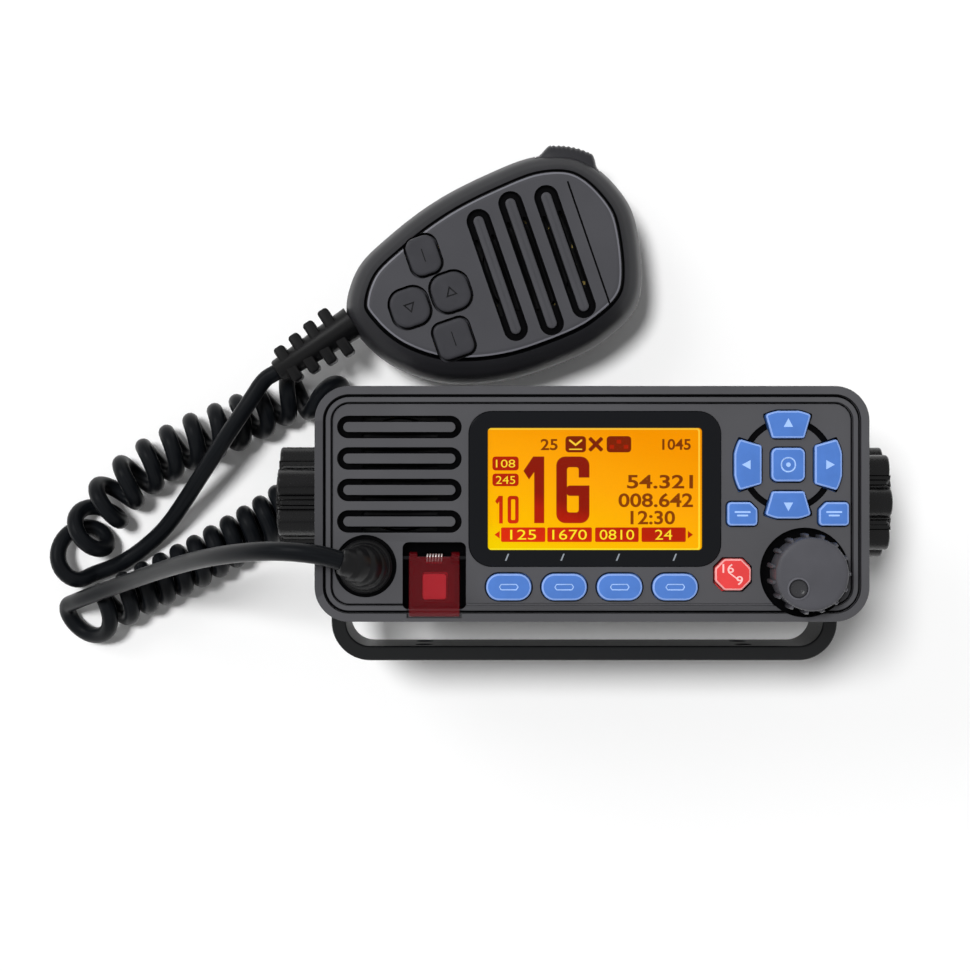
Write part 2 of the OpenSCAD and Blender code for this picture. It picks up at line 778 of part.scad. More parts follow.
module speaker() color("#202022") {
    translate([slot_x, slot_mid_y, z_plate - speaker_d])
        speaker_shape(speaker_r, speaker_d);
}

module key_mat() color("#4a4a4e") {
    left = soft_xs[0] - soft_w / 2 - 2;
    mid = cross_x - cross_r - 4;
    low = -soft_drop - soft_h / 2 - 0.8;
    translate([0, 0, z_board_top]) linear_extrude(mat_t) difference() {
        union() {
            translate([left, low]) square([red_x + red_w / 2 - left, soft_h + 5]);
            translate([mid, low + soft_h + 4]) square([10, cross_y - low - soft_h]);
            translate([mid, cross_y - corner_dy - 4]) square([2 * cross_r + 6.6, corner_dy + cross_r + 5]);
        }
        translate([screw_x, screw_y]) circle(r = boss_r + loose_gap);
    }
    arrow_mid = (arrow_in + cross_r) / 2;
    tops = concat(
        [for (x = soft_xs) [x, -soft_drop]],
        [for (i = [0:3]) [cross_x + arrow_mid * sin(90 * i), cross_y + arrow_mid * cos(90 * i)]],
        [for (s = [-1, 0, 1]) [cross_x + s * corner_dx, cross_y - (s == 0 ? 0 : corner_dy)]],
        [[red_x, red_y]]);
    for (p = tops) {
        translate([p.x, p.y, z_board_top]) cylinder(r = dome_r, h = z_mat_top - z_board_top);
    }
}

// ---- Keys ----
module soft_key(i) color("#3f6fd6") {
    translate([soft_xs[i], -soft_drop, 0]) key_body(z_panel + key_rise) {
        soft_outline();
        soft_outline(flange_out);
        soft_outline(-key_bevel);
    }
}

module arrow_key(i) color("#3f6fd6") {
    translate([cross_x, cross_y, 0]) rotate([0, 0, -90 * i]) key_body(z_panel + key_rise) {
        arrow_outline(arrow_half[i % 2]);
        arrow_outline(arrow_half[i % 2], small_flange);
        arrow_outline(arrow_half[i % 2], -key_bevel);
    }
}

module ok_key() color("#3f6fd6") {
    translate([cross_x, cross_y, 0]) key_body(z_panel + key_rise) {
        ok_outline();
        ok_outline(small_flange);
        ok_outline(-key_bevel);
    }
}

module corner_key(s) color("#3f6fd6") {
    translate([cross_x + s * corner_dx, cross_y - corner_dy, 0]) mirror([s > 0 ? 1 : 0, 0, 0])
        key_body(z_panel + key_rise) {
            corner_outline();
            corner_outline(small_flange);
            corner_outline(-key_bevel);
        }
}

module red_channel_key() color("#dc4040") {
    translate([red_x, red_y, 0]) key_body(z_panel + key_rise) {
        red_outline();
        red_outline(small_flange);
        red_outline(-key_bevel);
    }
}

// ---- Control knob and encoder ----
module control_knob() color("#2b2b2e") {
    translate([knob_x, knob_y, z_knob]) difference() {
        union() {
            rotate_extrude() polygon([
                [0, 0], [knob_r, 0], [knob_r, knob_h - 1], [knob_r - 1, knob_h], [0, knob_h]]);
            for (i = [0:knob_ribs - 1]) {
                rotate([0, 0, i * 360 / knob_ribs]) translate([knob_r - 0.4, -0.7, 0])
                    cube([knob_rib_out + 0.4, 1.4, knob_h - 2.5]);
            }
            // Raised rim of the finger dimple
            translate([-dimple_at, -dimple_at, knob_h - eps])
                cylinder(r = dimple_r + 0.5, h = 0.35 + eps);
        }
        // Hollow skirt round the shaft's hub
        difference() {
            translate([0, 0, -eps]) cylinder(r = knob_r - knob_skirt, h = knob_h - knob_top_t);
            translate([0, 0, -1]) cylinder(r = shaft_r + 1.9, h = knob_h);
        }
        translate([0, 0, -eps]) cylinder(r = bushing_r + 0.5, h = 2.8);
        translate([0, 0, -eps]) cylinder(r = shaft_r + run_gap / 2, h = knob_h - knob_top_t);
        // Finger dimple
        translate([-dimple_at, -dimple_at, knob_h + dimple_r * 1.6 - dimple_deep + 0.35])
            sphere(r = dimple_r * 1.6);
    }
}

module encoder_shaft() color("#b8bac0") {
    translate([knob_x, knob_y, z_plunger + plunger_t]) {
        cylinder(r = shaft_r, h = shaft_l);
        cylinder(r = shaft_r + 1.1, h = 1);
    }
}

module encoder_plunger() color("#8e9096") {
    translate([knob_x, knob_y, z_plunger]) cylinder(r = plunger_r, h = plunger_t - 0.02);
}

module encoder_body() color("#5c6068") {
    top = z_knob + 1.4;
    translate([knob_x, knob_y, 0]) difference() {
        union() {
            translate([-encoder_side / 2, -encoder_side / 2, z_encoder])
                cube([encoder_side, encoder_side, encoder_t]);
            translate([0, 0, z_encoder]) cylinder(r = bushing_r, h = top - z_encoder);
        }
        translate([0, 0, z_encoder + 0.8]) cylinder(r = plunger_r + 0.3, h = encoder_t - 1.6);
        translate([0, 0, z_encoder + 0.8]) cylinder(r = shaft_r + run_gap, h = 20);
    }
}

// ---- Distress key under its flip cover ----
module distress_cover() color("#b01622", 0.7) {
    x = bay_x - cover_w / 2;
    top = z_panel + cover_rise;
    difference() {
        union() {
            // Lid with its lip over the lower rim
            translate([x, cover_bottom, top - cover_t])
                cube([cover_w, hinge_y + 0.4 - cover_bottom, cover_t]);
            // Skirt round three sides
            difference() {
                translate([x, bay_bottom + 0.5, z_bay + 2.2])
                    cube([cover_w, hinge_y - bay_bottom - 2.6, top - z_bay - 2.3]);
                translate([x + cover_skirt, bay_bottom + 0.5 + cover_skirt, z_bay])
                    cube([cover_w - 2 * cover_skirt, 40, top - z_bay - cover_t]);
            }
            // Knuckles on the pin, tied to the lid
            for (s = [-1, 1]) {
                translate([bay_x + s * (cover_w / 2 - knuckle_l / 2) - knuckle_l / 2, hinge_y, z_hinge]) {
                    rotate([0, 90, 0]) cylinder(r = barrel_r, h = knuckle_l);
                    translate([0, -barrel_r, 0]) cube([knuckle_l, 1.9, top - z_hinge - 0.1]);
                }
            }
        }
        translate([x - 1, hinge_y, z_hinge]) rotate([0, 90, 0])
            cylinder(r = hinge_pin_r + run_gap, h = cover_w + 2);
    }
}

module cover_hinge_pin() color("#c9ccd2") {
    l = bay_w + bay_wall;
    translate([bay_x - l / 2, hinge_y, z_hinge]) rotate([0, 90, 0])
        cylinder(r = hinge_pin_r, h = l);
}

// Torsion spring, a helix round the pin with straight ends
module cover_spring() color("#d4d7dc") {
    steps = 8;
    n = spring_turns * steps;
    x0 = bay_x - spring_turns * spring_pitch / 2;
    pts = [for (k = [0:n]) let (a = k * 360 / steps)
        [x0 + k * spring_pitch / steps, hinge_y + spring_r * cos(a), z_hinge + spring_r * sin(a)]];
    first = unit(pts[1] - pts[0]);
    last = unit(pts[n] - pts[n - 1]);
    all = concat([pts[0] - spring_wire * first], pts, [pts[n] + spring_wire * last]);
    t = tangents(all, first, last);
    rings = [for (i = [0:len(all) - 1])
        ring(all[i], t[i], [0, all[i].y - hinge_y, all[i].z - z_hinge], spring_wire / 2, 6)];
    tube(rings);
    echo(str("least gap of the cover spring to itself, mm: ", spring_pitch - spring_wire));
}

module distress_key() color("#e0242e") {
    translate([bay_x, distress_cy, 0]) {
        block(distress_w, distress_h, 1, z_bay - bay_floor - 0.05 - 0.9, 6.3);
        block(distress_w + 1.6, distress_h + 1.6, 1.4, z_bay - bay_floor - 0.05 - 0.9, 0.9);
    }
}

// ---- Case and what it holds ----
module rear_case() color("#2a2b2d") {
    difference() {
        union() {
            block(case_w, case_h, case_r, z_case, case_d - flange_l);
            for (s = [-1, 1]) {
                translate([0, 0, pivot_z]) rotate([0, s * 90, 0]) cylinder(r = pad_r, h = pad_out);
            }
        }
        block(case_w - 2 * case_wall, case_h - 2 * case_wall, case_r - case_wall,
            z_case + case_wall, case_d);
        // Threaded holes for the clamp studs
        translate([-case_w, 0, pivot_z]) rotate([0, 90, 0]) cylinder(r = stud_r + run_gap, h = 2 * case_w);
        // Holes of the rear connectors
        for (s = [-1, 1]) {
            translate([s * socket_x, 0, z_case - 1]) cylinder(r = 5.6, h = case_wall + 2);
        }
    }
    // Posts for the main board
    for (x = [-post_x, post_x], y = [-post_y, post_y]) {
        translate([x, y, z_case + case_wall - eps])
            cylinder(r = post_r, h = z_post - z_case - case_wall + eps);
    }
    // Case floor behind the clamp holes is closed by bored bosses
    for (s = [-1, 1]) {
        translate([s * (case_w / 2 - case_wall + eps), 0, pivot_z]) rotate([0, -s * 90, 0])
            difference() {
                cylinder(r = stud_r + 2.5, h = 6);
                translate([0, 0, -1]) cylinder(r = stud_r + run_gap, h = 8);
            }
    }
}

// Flange of the casting, under the seam gasket
module case_flange() color("#2a2b2d") {
    difference() {
        block(flange_w, flange_h, corner_r - 1.5, z_flange - flange_l, flange_l);
        block(case_w - 2 * case_wall, case_h - 2 * case_wall, case_r - case_wall,
            z_flange - flange_l - 1, flange_l + 2);
        for (x = [-screw_x, screw_x], y = [-screw_y, screw_y]) {
            translate([x, y, z_flange - flange_l - 1]) cylinder(r = screw_r + 0.2, h = flange_l + 2);
        }
    }
}

// Heat-sink fins of the casting, cut away round the two rear connectors
module case_fins() color("#2a2b2d") {
    difference() {
        for (i = [0:fin_n - 1]) {
            translate([(i - (fin_n - 1) / 2) * fin_pitch - fin_t / 2, -case_h / 2 + 1, 0])
                cube([fin_t, case_h - 2, fin_l]);
        }
        for (s = [-1, 1]) {
            translate([s * socket_x - pocket, -pocket, -1]) cube([2 * pocket, 2 * pocket, fin_l + 2]);
        }
    }
}

module seam_gasket() color("#141415") {
    difference() {
        block(flange_w, flange_h, corner_r - 1.5, z_flange, gasket_t);
        block(flange_w - 9, flange_h - 9, corner_r - 4.5, z_flange - 1, gasket_t + 2);
        for (x = [-screw_x, screw_x], y = [-screw_y, screw_y]) {
            translate([x, y, z_flange - 1]) cylinder(r = screw_r + 0.2, h = gasket_t + 2);
        }
    }
}

module main_board() color("#2f6b3c") {
    block(case_w - 2 * case_wall - 4, case_h - 2 * case_wall - 3, 2, z_post, board_t);
}

module amplifier_module() color("#a9adb3") {
    translate([-31, -16, z_case + case_wall]) cube([62, 13, 9]);
    translate([-27, -15, z_case + case_wall + 9 - eps]) cube([54, 11, 2]);
}

module antenna_socket() color("#c2c5ca") {
    top = fin_l - socket_l;
    translate([socket_x, 0, 0]) difference() {
        union() {
            translate([0, 0, top]) cylinder(r = socket_r, h = socket_l - 2.2);
            translate([0, 0, fin_l - 2.3]) cylinder(r = 10.4, h = 2.3);
            translate([0, 0, fin_l - eps]) cylinder(r = 5.5, h = case_wall + 1);
        }
        translate([0, 0, top - 1]) cylinder(r = 5.2, h = 8.4);
        translate([0, 0, top]) cylinder(r = 2.4, h = 40);
    }
}

module socket_insulator() color("#e6e2d6") {
    top = fin_l - socket_l;
    translate([socket_x, 0, 0]) difference() {
        union() {
            translate([0, 0, top + 3.4]) cylinder(r = 5.15, h = 4);
            translate([0, 0, top + 7]) cylinder(r = 2.35, h = 9);
        }
        translate([0, 0, top + 2]) cylinder(r = 1.9, h = 5);
    }
}

module power_gland() color("#151516") {
    translate([-socket_x, 0, 0]) difference() {
        union() {
            rotate_extrude() polygon([
                [0, 6], [4.6, 6], [6.6, 8.5], [6.6, fin_l - 2], [9, fin_l - 2], [9, fin_l],
                [5.5, fin_l], [5.5, fin_l + case_wall + 1.5], [0, fin_l + case_wall + 1.5]]);
        }
        translate([0, 0, 5]) cylinder(r = cable_bore_r, h = 30);
    }
}

module housing_screws() color("#b5b8bd") {
    for (x = [-screw_x, screw_x], y = [-screw_y, screw_y]) {
        translate([x, y, z_flange - flange_l - 2]) {
            difference() {
                cylinder(r = screw_head_r, h = 2);
                translate([0, 0, -1]) cylinder(r = 1.3, h = 2.2, $fn = 6);
            }
            cylinder(r = screw_r, h = 14);
        }
    }
}

// ---- Bracket and clamps ----
module bracket() color("#232425") {
    inner = bracket_w - 2 * bracket_t;
    rise = 2 * bracket_bend;
    difference() {
        union() {
            translate([0, 0, pivot_z - bracket_strap / 2]) linear_extrude(bracket_strap)
                difference() {
                    translate([0, rise / 2 - bracket_reach / 2])
                        round_rect(bracket_w, bracket_reach + rise, bracket_bend);
                    translate([0, rise / 2 - bracket_reach / 2 + bracket_t])
                        round_rect(inner, bracket_reach + rise, bracket_bend - bracket_t);
                    translate([-bracket_w, 0]) square([2 * bracket_w, 4 * rise]);
                }
            for (s = [-1, 1]) {
                translate([s * arm_x, 0, pivot_z]) rotate([0, s * 90, 0])
                    cylinder(r = arm_r, h = bracket_t);
            }
        }
        translate([-bracket_w, 0, pivot_z]) rotate([0, 90, 0])
            cylinder(r = stud_r + loose_gap, h = 2 * bracket_w);
        for (x = [-mount_x / 2, mount_x / 2], z = [-mount_z / 2, mount_z / 2]) {
            translate([x, 1 - bracket_reach + bracket_t, pivot_z + z]) rotate([90, 0, 0])
                cylinder(r = mount_r, h = bracket_t + 2);
        }
    }
}

module pivot_washers() color("#18181a") {
    for (s = [-1, 1]) {
        translate([s * pad_out, 0, pivot_z]) rotate([0, s * 90, 0]) difference() {
            cylinder(r = washer_r, h = washer_t);
            translate([0, 0, -1]) cylinder(r = stud_r + loose_gap, h = washer_t + 2);
        }
    }
}

module clamp_stud(s) color("#b5b8bd") {
    translate([s * (case_w / 2 - case_wall - 4), 0, pivot_z]) rotate([0, s * 90, 0])
        cylinder(r = stud_r, h = bracket_w / 2 + clamp_t - case_w / 2 + case_wall);
}

// Lobed hand wheel with a stepped face
module clamp_knob(s) color("#1d1d1f") {
    lobe_r = 4.6;
    translate([s * (bracket_w / 2 + seat_gap), 0, pivot_z]) rotate([0, s * 90, 0]) difference() {
        union() {
            cylinder(r = hub_r + 2, h = clamp_t);
            translate([0, 0, 1.5]) cylinder(r = clamp_r - lobe_r * 0.75, h = clamp_t - 3);
            for (i = [0:clamp_lobes - 1]) {
                rotate([0, 0, (i + 0.5) * 360 / clamp_lobes]) translate([clamp_r - lobe_r, 0, 1.2])
                    cylinder(r = lobe_r, h = clamp_t - 2);
            }
        }
        translate([0, 0, -1]) cylinder(r = stud_r + run_gap, h = clamp_t - 2.5);
    }
}

// ---- Cord ----
// Stepped boot that bends over towards the lead
module cord_gland() color("#161618") {
    translate([gland_x, gland_y, 0]) {
        translate([0, 0, z_plate - gland_nut_t])
            cylinder(r = gland_hole_r - run_gap, h = plate_t + gland_nut_t);
        translate([0, 0, z_plate - run_gap - gland_nut_t]) cylinder(r = gland_nut_r, h = gland_nut_t);
        translate([0, 0, z_panel - 1]) cylinder(r = gland_r, h = gland_base_h + 1.2);
    }
    for (i = [0:gland_steps - 1]) {
        a = i * gland_tilt / gland_steps;
        b = (i + 1) * gland_tilt / gland_steps;
        f = i / (gland_steps - 1);
        r = gland_r - 0.9 + f * (gland_tip_r - gland_r + 0.9);
        c = gland_at(a);
        l = norm(gland_at(b) - c);
        translate(c) rotate([0, 0, gland_turn]) rotate([0, (a + b) / 2, 0]) {
            cylinder(r = r, h = l * 0.62);
            cylinder(r = r - 0.7, h = i == gland_steps - 1 ? l : l + 0.3);
        }
    }
    // Flat end that the lead leaves from
    translate(gland_tip - 0.6 * gland_dir) rotate([0, 0, gland_turn]) rotate([0, gland_tilt, 0])
        cylinder(r = gland_tip_r - 0.5, h = 0.6);
}

module lead(path, first, last) {
    t = tangents(path, first, last);
    tube([for (i = [0:len(path) - 1]) ring(path[i], t[i], [0, 0, 1], cord_d / 2, lead_sides)]);
}

module radio_lead() color("#1b1c1e") {
    lead(radio_path, gland_dir, coil_in);
}

module mic_lead() color("#1b1c1e") {
    lead(mic_path, relief_dir, -coil_out);
}

module curly_cord() color("#1b1c1e") {
    mid = [for (k = coil_picks) coil_fine_pts[k]];
    mid_t = [for (k = coil_picks)
        k == 0 ? coil_in : k >= coil_last ? coil_out
        : unit(coil_fine_pts[k + 1] - coil_fine_pts[k - 1])];
    mid_out = [for (k = coil_picks) curl_out(coil_walk[k][0], coil_walk[k][1])];
    n = len(mid) - 1;
    pts = concat([coil_start_pt], mid, [mid[n] + cord_d * mid_t[n]]);
    ts = concat([coil_in], mid_t, [mid_t[n]]);
    outs = concat([mid_out[0]], mid_out, [mid_out[n]]);
    tube([for (i = [0:len(pts) - 1]) ring(pts[i], ts[i], outs[i], cord_d / 2, coil_sides)]);
}

// ---- Microphone ----
function mic_points(inset) =
    let (n = len(mic_ctrl))
    [for (i = [0:n - 1], k = [0:mic_sub - 1])
        let (a = mic_ctrl[(i + n - 1) % n], b = mic_ctrl[i], c = mic_ctrl[(i + 1) % n],
            d = mic_ctrl[(i + 2) % n], f = k / mic_sub,
            p = smooth(a, b, c, d, f), q = smooth(a, b, c, d, f + 0.02), t = unit(q - p))
        p + inset * [-t.y, t.x]];

// Shell form through levels of [z, inset]
module mic_loft(levels) {
    tube([for (v = levels) [for (p = mic_points(v[1])) [p.x, p.y, v[0]]]]);
}

module mic_place() {
    translate([mic_x, mic_y, 0]) rotate([0, 0, mic_turn]) children();
}

mic_front_levels = [
    [z_mic_seam, 0], [z_mic_seam + 7, 0.6], [z_mic_seam + mic_front_d - 6.8, 2.2],
    [z_mic_face - 3.8, 4.6], [z_mic_face - 2, 6.6], [z_mic_face - 2.5, 7.3],
    [z_mic_face - 0.5, mic_face_in], [z_mic_face, 9.5]];
mic_front_hollow = [
    [z_mic_seam - 1, mic_wall], [z_mic_seam + 7, mic_wall + 0.6],
    [z_mic_seam + mic_front_d - 6.8, mic_wall + 2.4], [z_mic_ceiling, mic_wall + 5.6]];
mic_back_levels = [
    [z_mic_back, 9.5], [z_mic_back + 1.4, 5.4], [z_mic_back + 4.5, 2.4],
    [z_mic_back + 8, 0.8], [z_mic_seam, 0]];
mic_back_hollow = [
    [z_mic_back + mic_wall, 10], [z_mic_back + 4.5, mic_wall + 3.2],
    [z_mic_back + 8, mic_wall + 1], [z_mic_seam + 1, mic_wall]];

module ptt_region(g) {
    translate([ptt_u, ptt_v]) rotate(ptt_turn) translate([-8 - g, -ptt_w / 2 - g])
        square([20, ptt_w + 2 * g]);
}

// Outlines of the microphone's keys, grown by a gap
module mic_key_outline(i, g = 0) {
    translate([mic_key_us[i], mic_key_vs[i]])
        round_rect(mic_key_ws[i] + 2 * g, mic_key_hs[i] + 2 * g, mic_key_rs[i] + g);
}

module at_mic_screws(z) {
    for (i = [0:3]) {
        translate([mic_screw_us[i], mic_screw_vs[i], z]) children();
    }
}

module mic_front_shell() color("#46464a") mic_place() difference() {
    union() {
        difference() {
            mic_loft(mic_front_levels);
            mic_loft(mic_front_hollow);
        }
        at_mic_screws(z_mic_seam) cylinder(r = mic_post_r, h = z_mic_ceiling - z_mic_seam + 0.5);
    }
    at_mic_screws(z_mic_seam - 1) cylinder(r = mic_screw_r, h = 8);
    // Key holes, with room for the flanges under the face
    for (i = [0:3]) {
        translate([0, 0, z_mic_ceiling - 3]) linear_extrude(9) mic_key_outline(i, slide_gap);
        translate([0, 0, z_mic_ceiling - 3]) linear_extrude(3) mic_key_outline(i, mic_flange + slide_gap);
    }
    // Grille grooves round their bars, with sound slits
    for (i = [0:2]) {
        translate([mic_slot_u + i * mic_slot_pitch, 0.4, 0]) rotate(90) {
            translate([0, 0, z_mic_face - mic_slot_d]) linear_extrude(9) difference() {
                stadium(mic_slot_ls[i], mic_slot_w);
                stadium(mic_slot_ls[i] - mic_slot_w + mic_bar_w, mic_bar_w);
            }
            for (s = [-1, 1]) {
                translate([0, s * (mic_slot_w + mic_bar_w) / 4, z_mic_ceiling - 1])
                    linear_extrude(mic_plate) stadium(mic_slot_ls[i] - 18, 1);
            }
        }
    }
    // Fine line beside the grille
    translate([mic_slot_u + 31.4, 0.7, z_mic_face - 0.6]) linear_extrude(3) square([0.6, 42], center = true);
    // Window for the push-to-talk button
    translate([0, 0, z_ptt - slide_gap]) linear_extrude(ptt_h + 2 * slide_gap) ptt_region(slide_gap);
}

module mic_rear_shell() color("#303033") mic_place() difference() {
    union() {
        difference() {
            mic_loft(mic_back_levels);
            mic_loft(mic_back_hollow);
        }
        at_mic_screws(z_mic_back + 1) cylinder(r = mic_post_r, h = mic_back_d - 1);
    }
    at_mic_screws(z_mic_back - 1) {
        cylinder(r = mic_screw_r + run_gap, h = mic_back_d + 2);
        cylinder(r = mic_head_r + loose_gap, h = mic_head_t + 1.2);
    }
    translate([hanger_u, 0, z_mic_back - 1]) cylinder(r = 2, h = 9);
}

module mic_key(i) color("#3a3a3d") mic_place() {
    top = z_mic_face + mic_key_rise;
    translate([0, 0, z_mic_key]) linear_extrude(flange_t) mic_key_outline(i, mic_flange);
    translate([0, 0, z_mic_key]) linear_extrude(top - z_mic_key - key_step) mic_key_outline(i);
    translate([0, 0, top - key_step - eps]) linear_extrude(key_step + eps) mic_key_outline(i, -key_step);
}

// Button wrapped round the head's corner, with a lip inside the shell
module ptt_button() color("#2c2c2f") mic_place() {
    translate([0, 0, z_ptt]) linear_extrude(ptt_h) intersection() {
        ptt_region(0);
        difference() {
            polygon(mic_points(-ptt_out));
            polygon(mic_points(ptt_in[1]));
        }
    }
    translate([0, 0, z_ptt - 0.8]) linear_extrude(ptt_h + 1.6) intersection() {
        ptt_region(ptt_lip);
        difference() {
            polygon(mic_points(ptt_in[0]));
            polygon(mic_points(ptt_in[1]));
        }
    }
}

// Board with its dome switches, cut round the speaker and the posts
module mic_board() color("#2f6b3c") mic_place() {
    translate([0, 0, z_mic_board - board_t]) linear_extrude(board_t) difference() {
        translate([5.5, 0]) round_rect(70, 36, 3);
        translate([mic_speaker_u, 0]) circle(r = mic_speaker_r + 0.6);
        for (i = [0:3]) {
            translate([mic_screw_us[i], mic_screw_vs[i]]) circle(r = mic_post_r + loose_gap);
        }
    }
    for (i = [0:3]) {
        translate([mic_key_us[i], mic_key_vs[i], z_mic_board - eps])
            cylinder(r = dome_r, h = z_mic_key - mic_travel - 0.15 - z_mic_board);
    }
}

module mic_capsule() color("#8f9298") mic_place() {
    translate([mic_slot_u + 33, 0, z_mic_board]) cylinder(r = 4.8, h = 3.6);
}

module mic_speaker() color("#202022") mic_place() {
    d = 9.5;
    translate([mic_speaker_u, 0, z_mic_ceiling - d]) speaker_shape(mic_speaker_r, d);
}

module mic_strain_relief() color("#1a1a1c") {
    turn = atan2(relief_v.y, relief_v.x);
    step = (relief_l - 5) / relief_tabs;
    translate([relief_from.x, relief_from.y, relief_z]) rotate([0, 0, turn]) {
        rotate([0, 90, 0]) cylinder(r1 = relief_r, r2 = relief_tip_r, h = relief_l);
        for (i = [0:relief_tabs - 1]) {
            w = 17.5 - 1.5 * i;
            translate([4.5 + i * step, -w / 2, -4.4 + 0.2 * i]) cube([step * 0.62, w, 8.8 - 0.4 * i]);
        }
    }
}

module mic_hanger_button() color("#a8abb0") mic_place() {
    translate([hanger_u, 0, 0]) {
        cylinder(r = hanger_r, h = 2.6);
        cylinder(r = 4.2, h = z_mic_back);
        cylinder(r = 2 - run_gap, h = z_mic_back + 6);
    }
}

module mic_screws() color("#b5b8bd") mic_place() {
    at_mic_screws(z_mic_back + 0.2) {
        difference() {
            cylinder(r = mic_head_r, h = mic_head_t);
            translate([0, 0, -1]) cylinder(r = 1.1, h = 1.8, $fn = 6);
        }
        cylinder(r = mic_screw_r, h = mic_back_d + 6);
    }
}

front_housing();
lens_frame();
lcd_window();
lcd_module();
rear_case();
case_flange();
case_fins();
seam_gasket();
main_board();
amplifier_module();
front_board();
speaker();
key_mat();
soft_key(0);  // soft_key_1
soft_key(1);  // soft_key_2
soft_key(2);  // soft_key_3
soft_key(3);  // soft_key_4
arrow_key(0);  // up_key
arrow_key(2);  // down_key
arrow_key(3);  // left_key
arrow_key(1);  // right_key
ok_key();
corner_key(-1);  // corner_key_left
corner_key(1);  // corner_key_right
red_channel_key();
control_knob();
encoder_shaft();
encoder_plunger();
encoder_body();
distress_cover();
cover_hinge_pin();
cover_spring();
distress_key();
bracket();
clamp_knob(-1);  // left_clamp_knob
clamp_knob(1);  // right_clamp_knob
clamp_stud(-1);  // left_clamp_stud
clamp_stud(1);  // right_clamp_stud
pivot_washers();
antenna_socket();
socket_insulator();
power_gland();
housing_screws();
cord_gland();
radio_lead();
curly_cord();
mic_lead();
mic_front_shell();
mic_rear_shell();
mic_key(0);  // mic_key_top
mic_key(2);  // mic_key_up
mic_key(1);  // mic_key_down
mic_key(3);  // mic_key_bottom
ptt_button();
mic_board();
mic_capsule();
mic_speaker();
mic_strain_relief();
mic_hanger_button();
mic_screws();
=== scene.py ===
import math

import bmesh
import bpy
import numpy as np
from mathutils import Matrix, Vector


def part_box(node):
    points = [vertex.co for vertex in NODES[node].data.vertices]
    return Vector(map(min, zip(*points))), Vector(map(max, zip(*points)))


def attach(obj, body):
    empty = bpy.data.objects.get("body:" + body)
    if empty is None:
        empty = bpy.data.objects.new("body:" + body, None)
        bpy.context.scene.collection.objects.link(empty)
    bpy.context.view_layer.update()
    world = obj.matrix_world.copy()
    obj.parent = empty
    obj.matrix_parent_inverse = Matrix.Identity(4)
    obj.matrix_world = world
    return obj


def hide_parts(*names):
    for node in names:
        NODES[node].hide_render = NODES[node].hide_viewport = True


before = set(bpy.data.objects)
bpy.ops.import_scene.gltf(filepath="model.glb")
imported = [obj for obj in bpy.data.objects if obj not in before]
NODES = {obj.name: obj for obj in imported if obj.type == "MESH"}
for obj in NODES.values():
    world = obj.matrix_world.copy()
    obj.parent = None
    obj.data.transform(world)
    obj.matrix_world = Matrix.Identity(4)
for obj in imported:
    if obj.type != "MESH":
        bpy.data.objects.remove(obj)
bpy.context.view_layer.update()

# Fixed-mount marine radio with its fist microphone. Lengths are in millimetres until a mesh is made.
MM = 0.001

# Levels of the radio, along Z
Z_PANEL, Z_PLATE, Z_LENS_TOP, Z_LCD = 110.6, 106.2, 111.2, 109.04
Z_KEY_LOW, Z_KEY_TOP = 105.05, 112.1


def shift(x, y, z):
    return Matrix.Translation(Vector((x, y, z)) * MM)


# Face level and place of the microphone
Z_MIC_FACE = 38.8
MIC_PLACE = shift(-28.0, 72.6, 0) @ Matrix.Rotation(math.radians(19), 4, "Z")


def put(name, data):
    """Object of some data, linked into the scene."""
    item = bpy.data.objects.new(name, data)
    bpy.context.scene.collection.objects.link(item)
    return item


# ---- Camera ----
camera_data = bpy.data.cameras.new("camera")
camera_data.sensor_fit = "HORIZONTAL"
camera_data.sensor_width = 36.0
camera_data.lens = 77.25
camera_data.clip_start, camera_data.clip_end = 0.02, 20
camera = put("camera", camera_data)
camera.location = (-0.03085, 0.0053, 0.712)
bpy.context.scene.camera = camera


# ---- Colours and nodes ----
WHITE, BLACK = (1, 1, 1, 1), (0, 0, 0, 1)
# Share of a display's colour that is its own light, and how far the fine grain swings a roughness
GLOW, GLOSS_SWING = 0.88, 0.07


def lin(code):
    """Linear colour of an sRGB hex code."""
    parts = [int(code[i:i + 2], 16) / 255 for i in (1, 3, 5)]
    return tuple(c / 12.92 if c <= 0.04045 else ((c + 0.055) / 1.055) ** 2.4 for c in parts) + (1.0,)


def shade(colour, factor):
    return tuple(min(1.0, c * factor) for c in colour[:3]) + (1.0,)


def feed(tree, node, values=None, links=None):
    """Sets a node's inputs and links them to sockets, or to the first output of a node."""
    for name, value in (values or {}).items():
        node.inputs[name].default_value = value
    for name, source in (links or {}).items():
        tree.links.new(source.outputs[0] if hasattr(source, "outputs") else source, node.inputs[name])
    return node


def add(tree, kind, props=None, values=None, links=None):
    """Adds a node: its settings by attribute, its inputs by name or number, and what feeds them."""
    node = tree.nodes.new(kind)
    for name, value in (props or {}).items():
        setattr(node, name, value)
    return feed(tree, node, values, links)


def ramp(tree, source, stops):
    """Colour ramp over a factor, with stops of (place, colour)."""
    node = add(tree, "ShaderNodeValToRGB", links={"Fac": source})
    while len(node.color_ramp.elements) < len(stops):
        node.color_ramp.elements.new(0.5)
    for element, (place, colour) in zip(node.color_ramp.elements, stops):
        element.position = place
        element.color = colour
    return node


def material(name):
    mat = bpy.data.materials.new(name)
    mat.use_nodes = True
    return mat, mat.node_tree, mat.node_tree.nodes["Principled BSDF"]


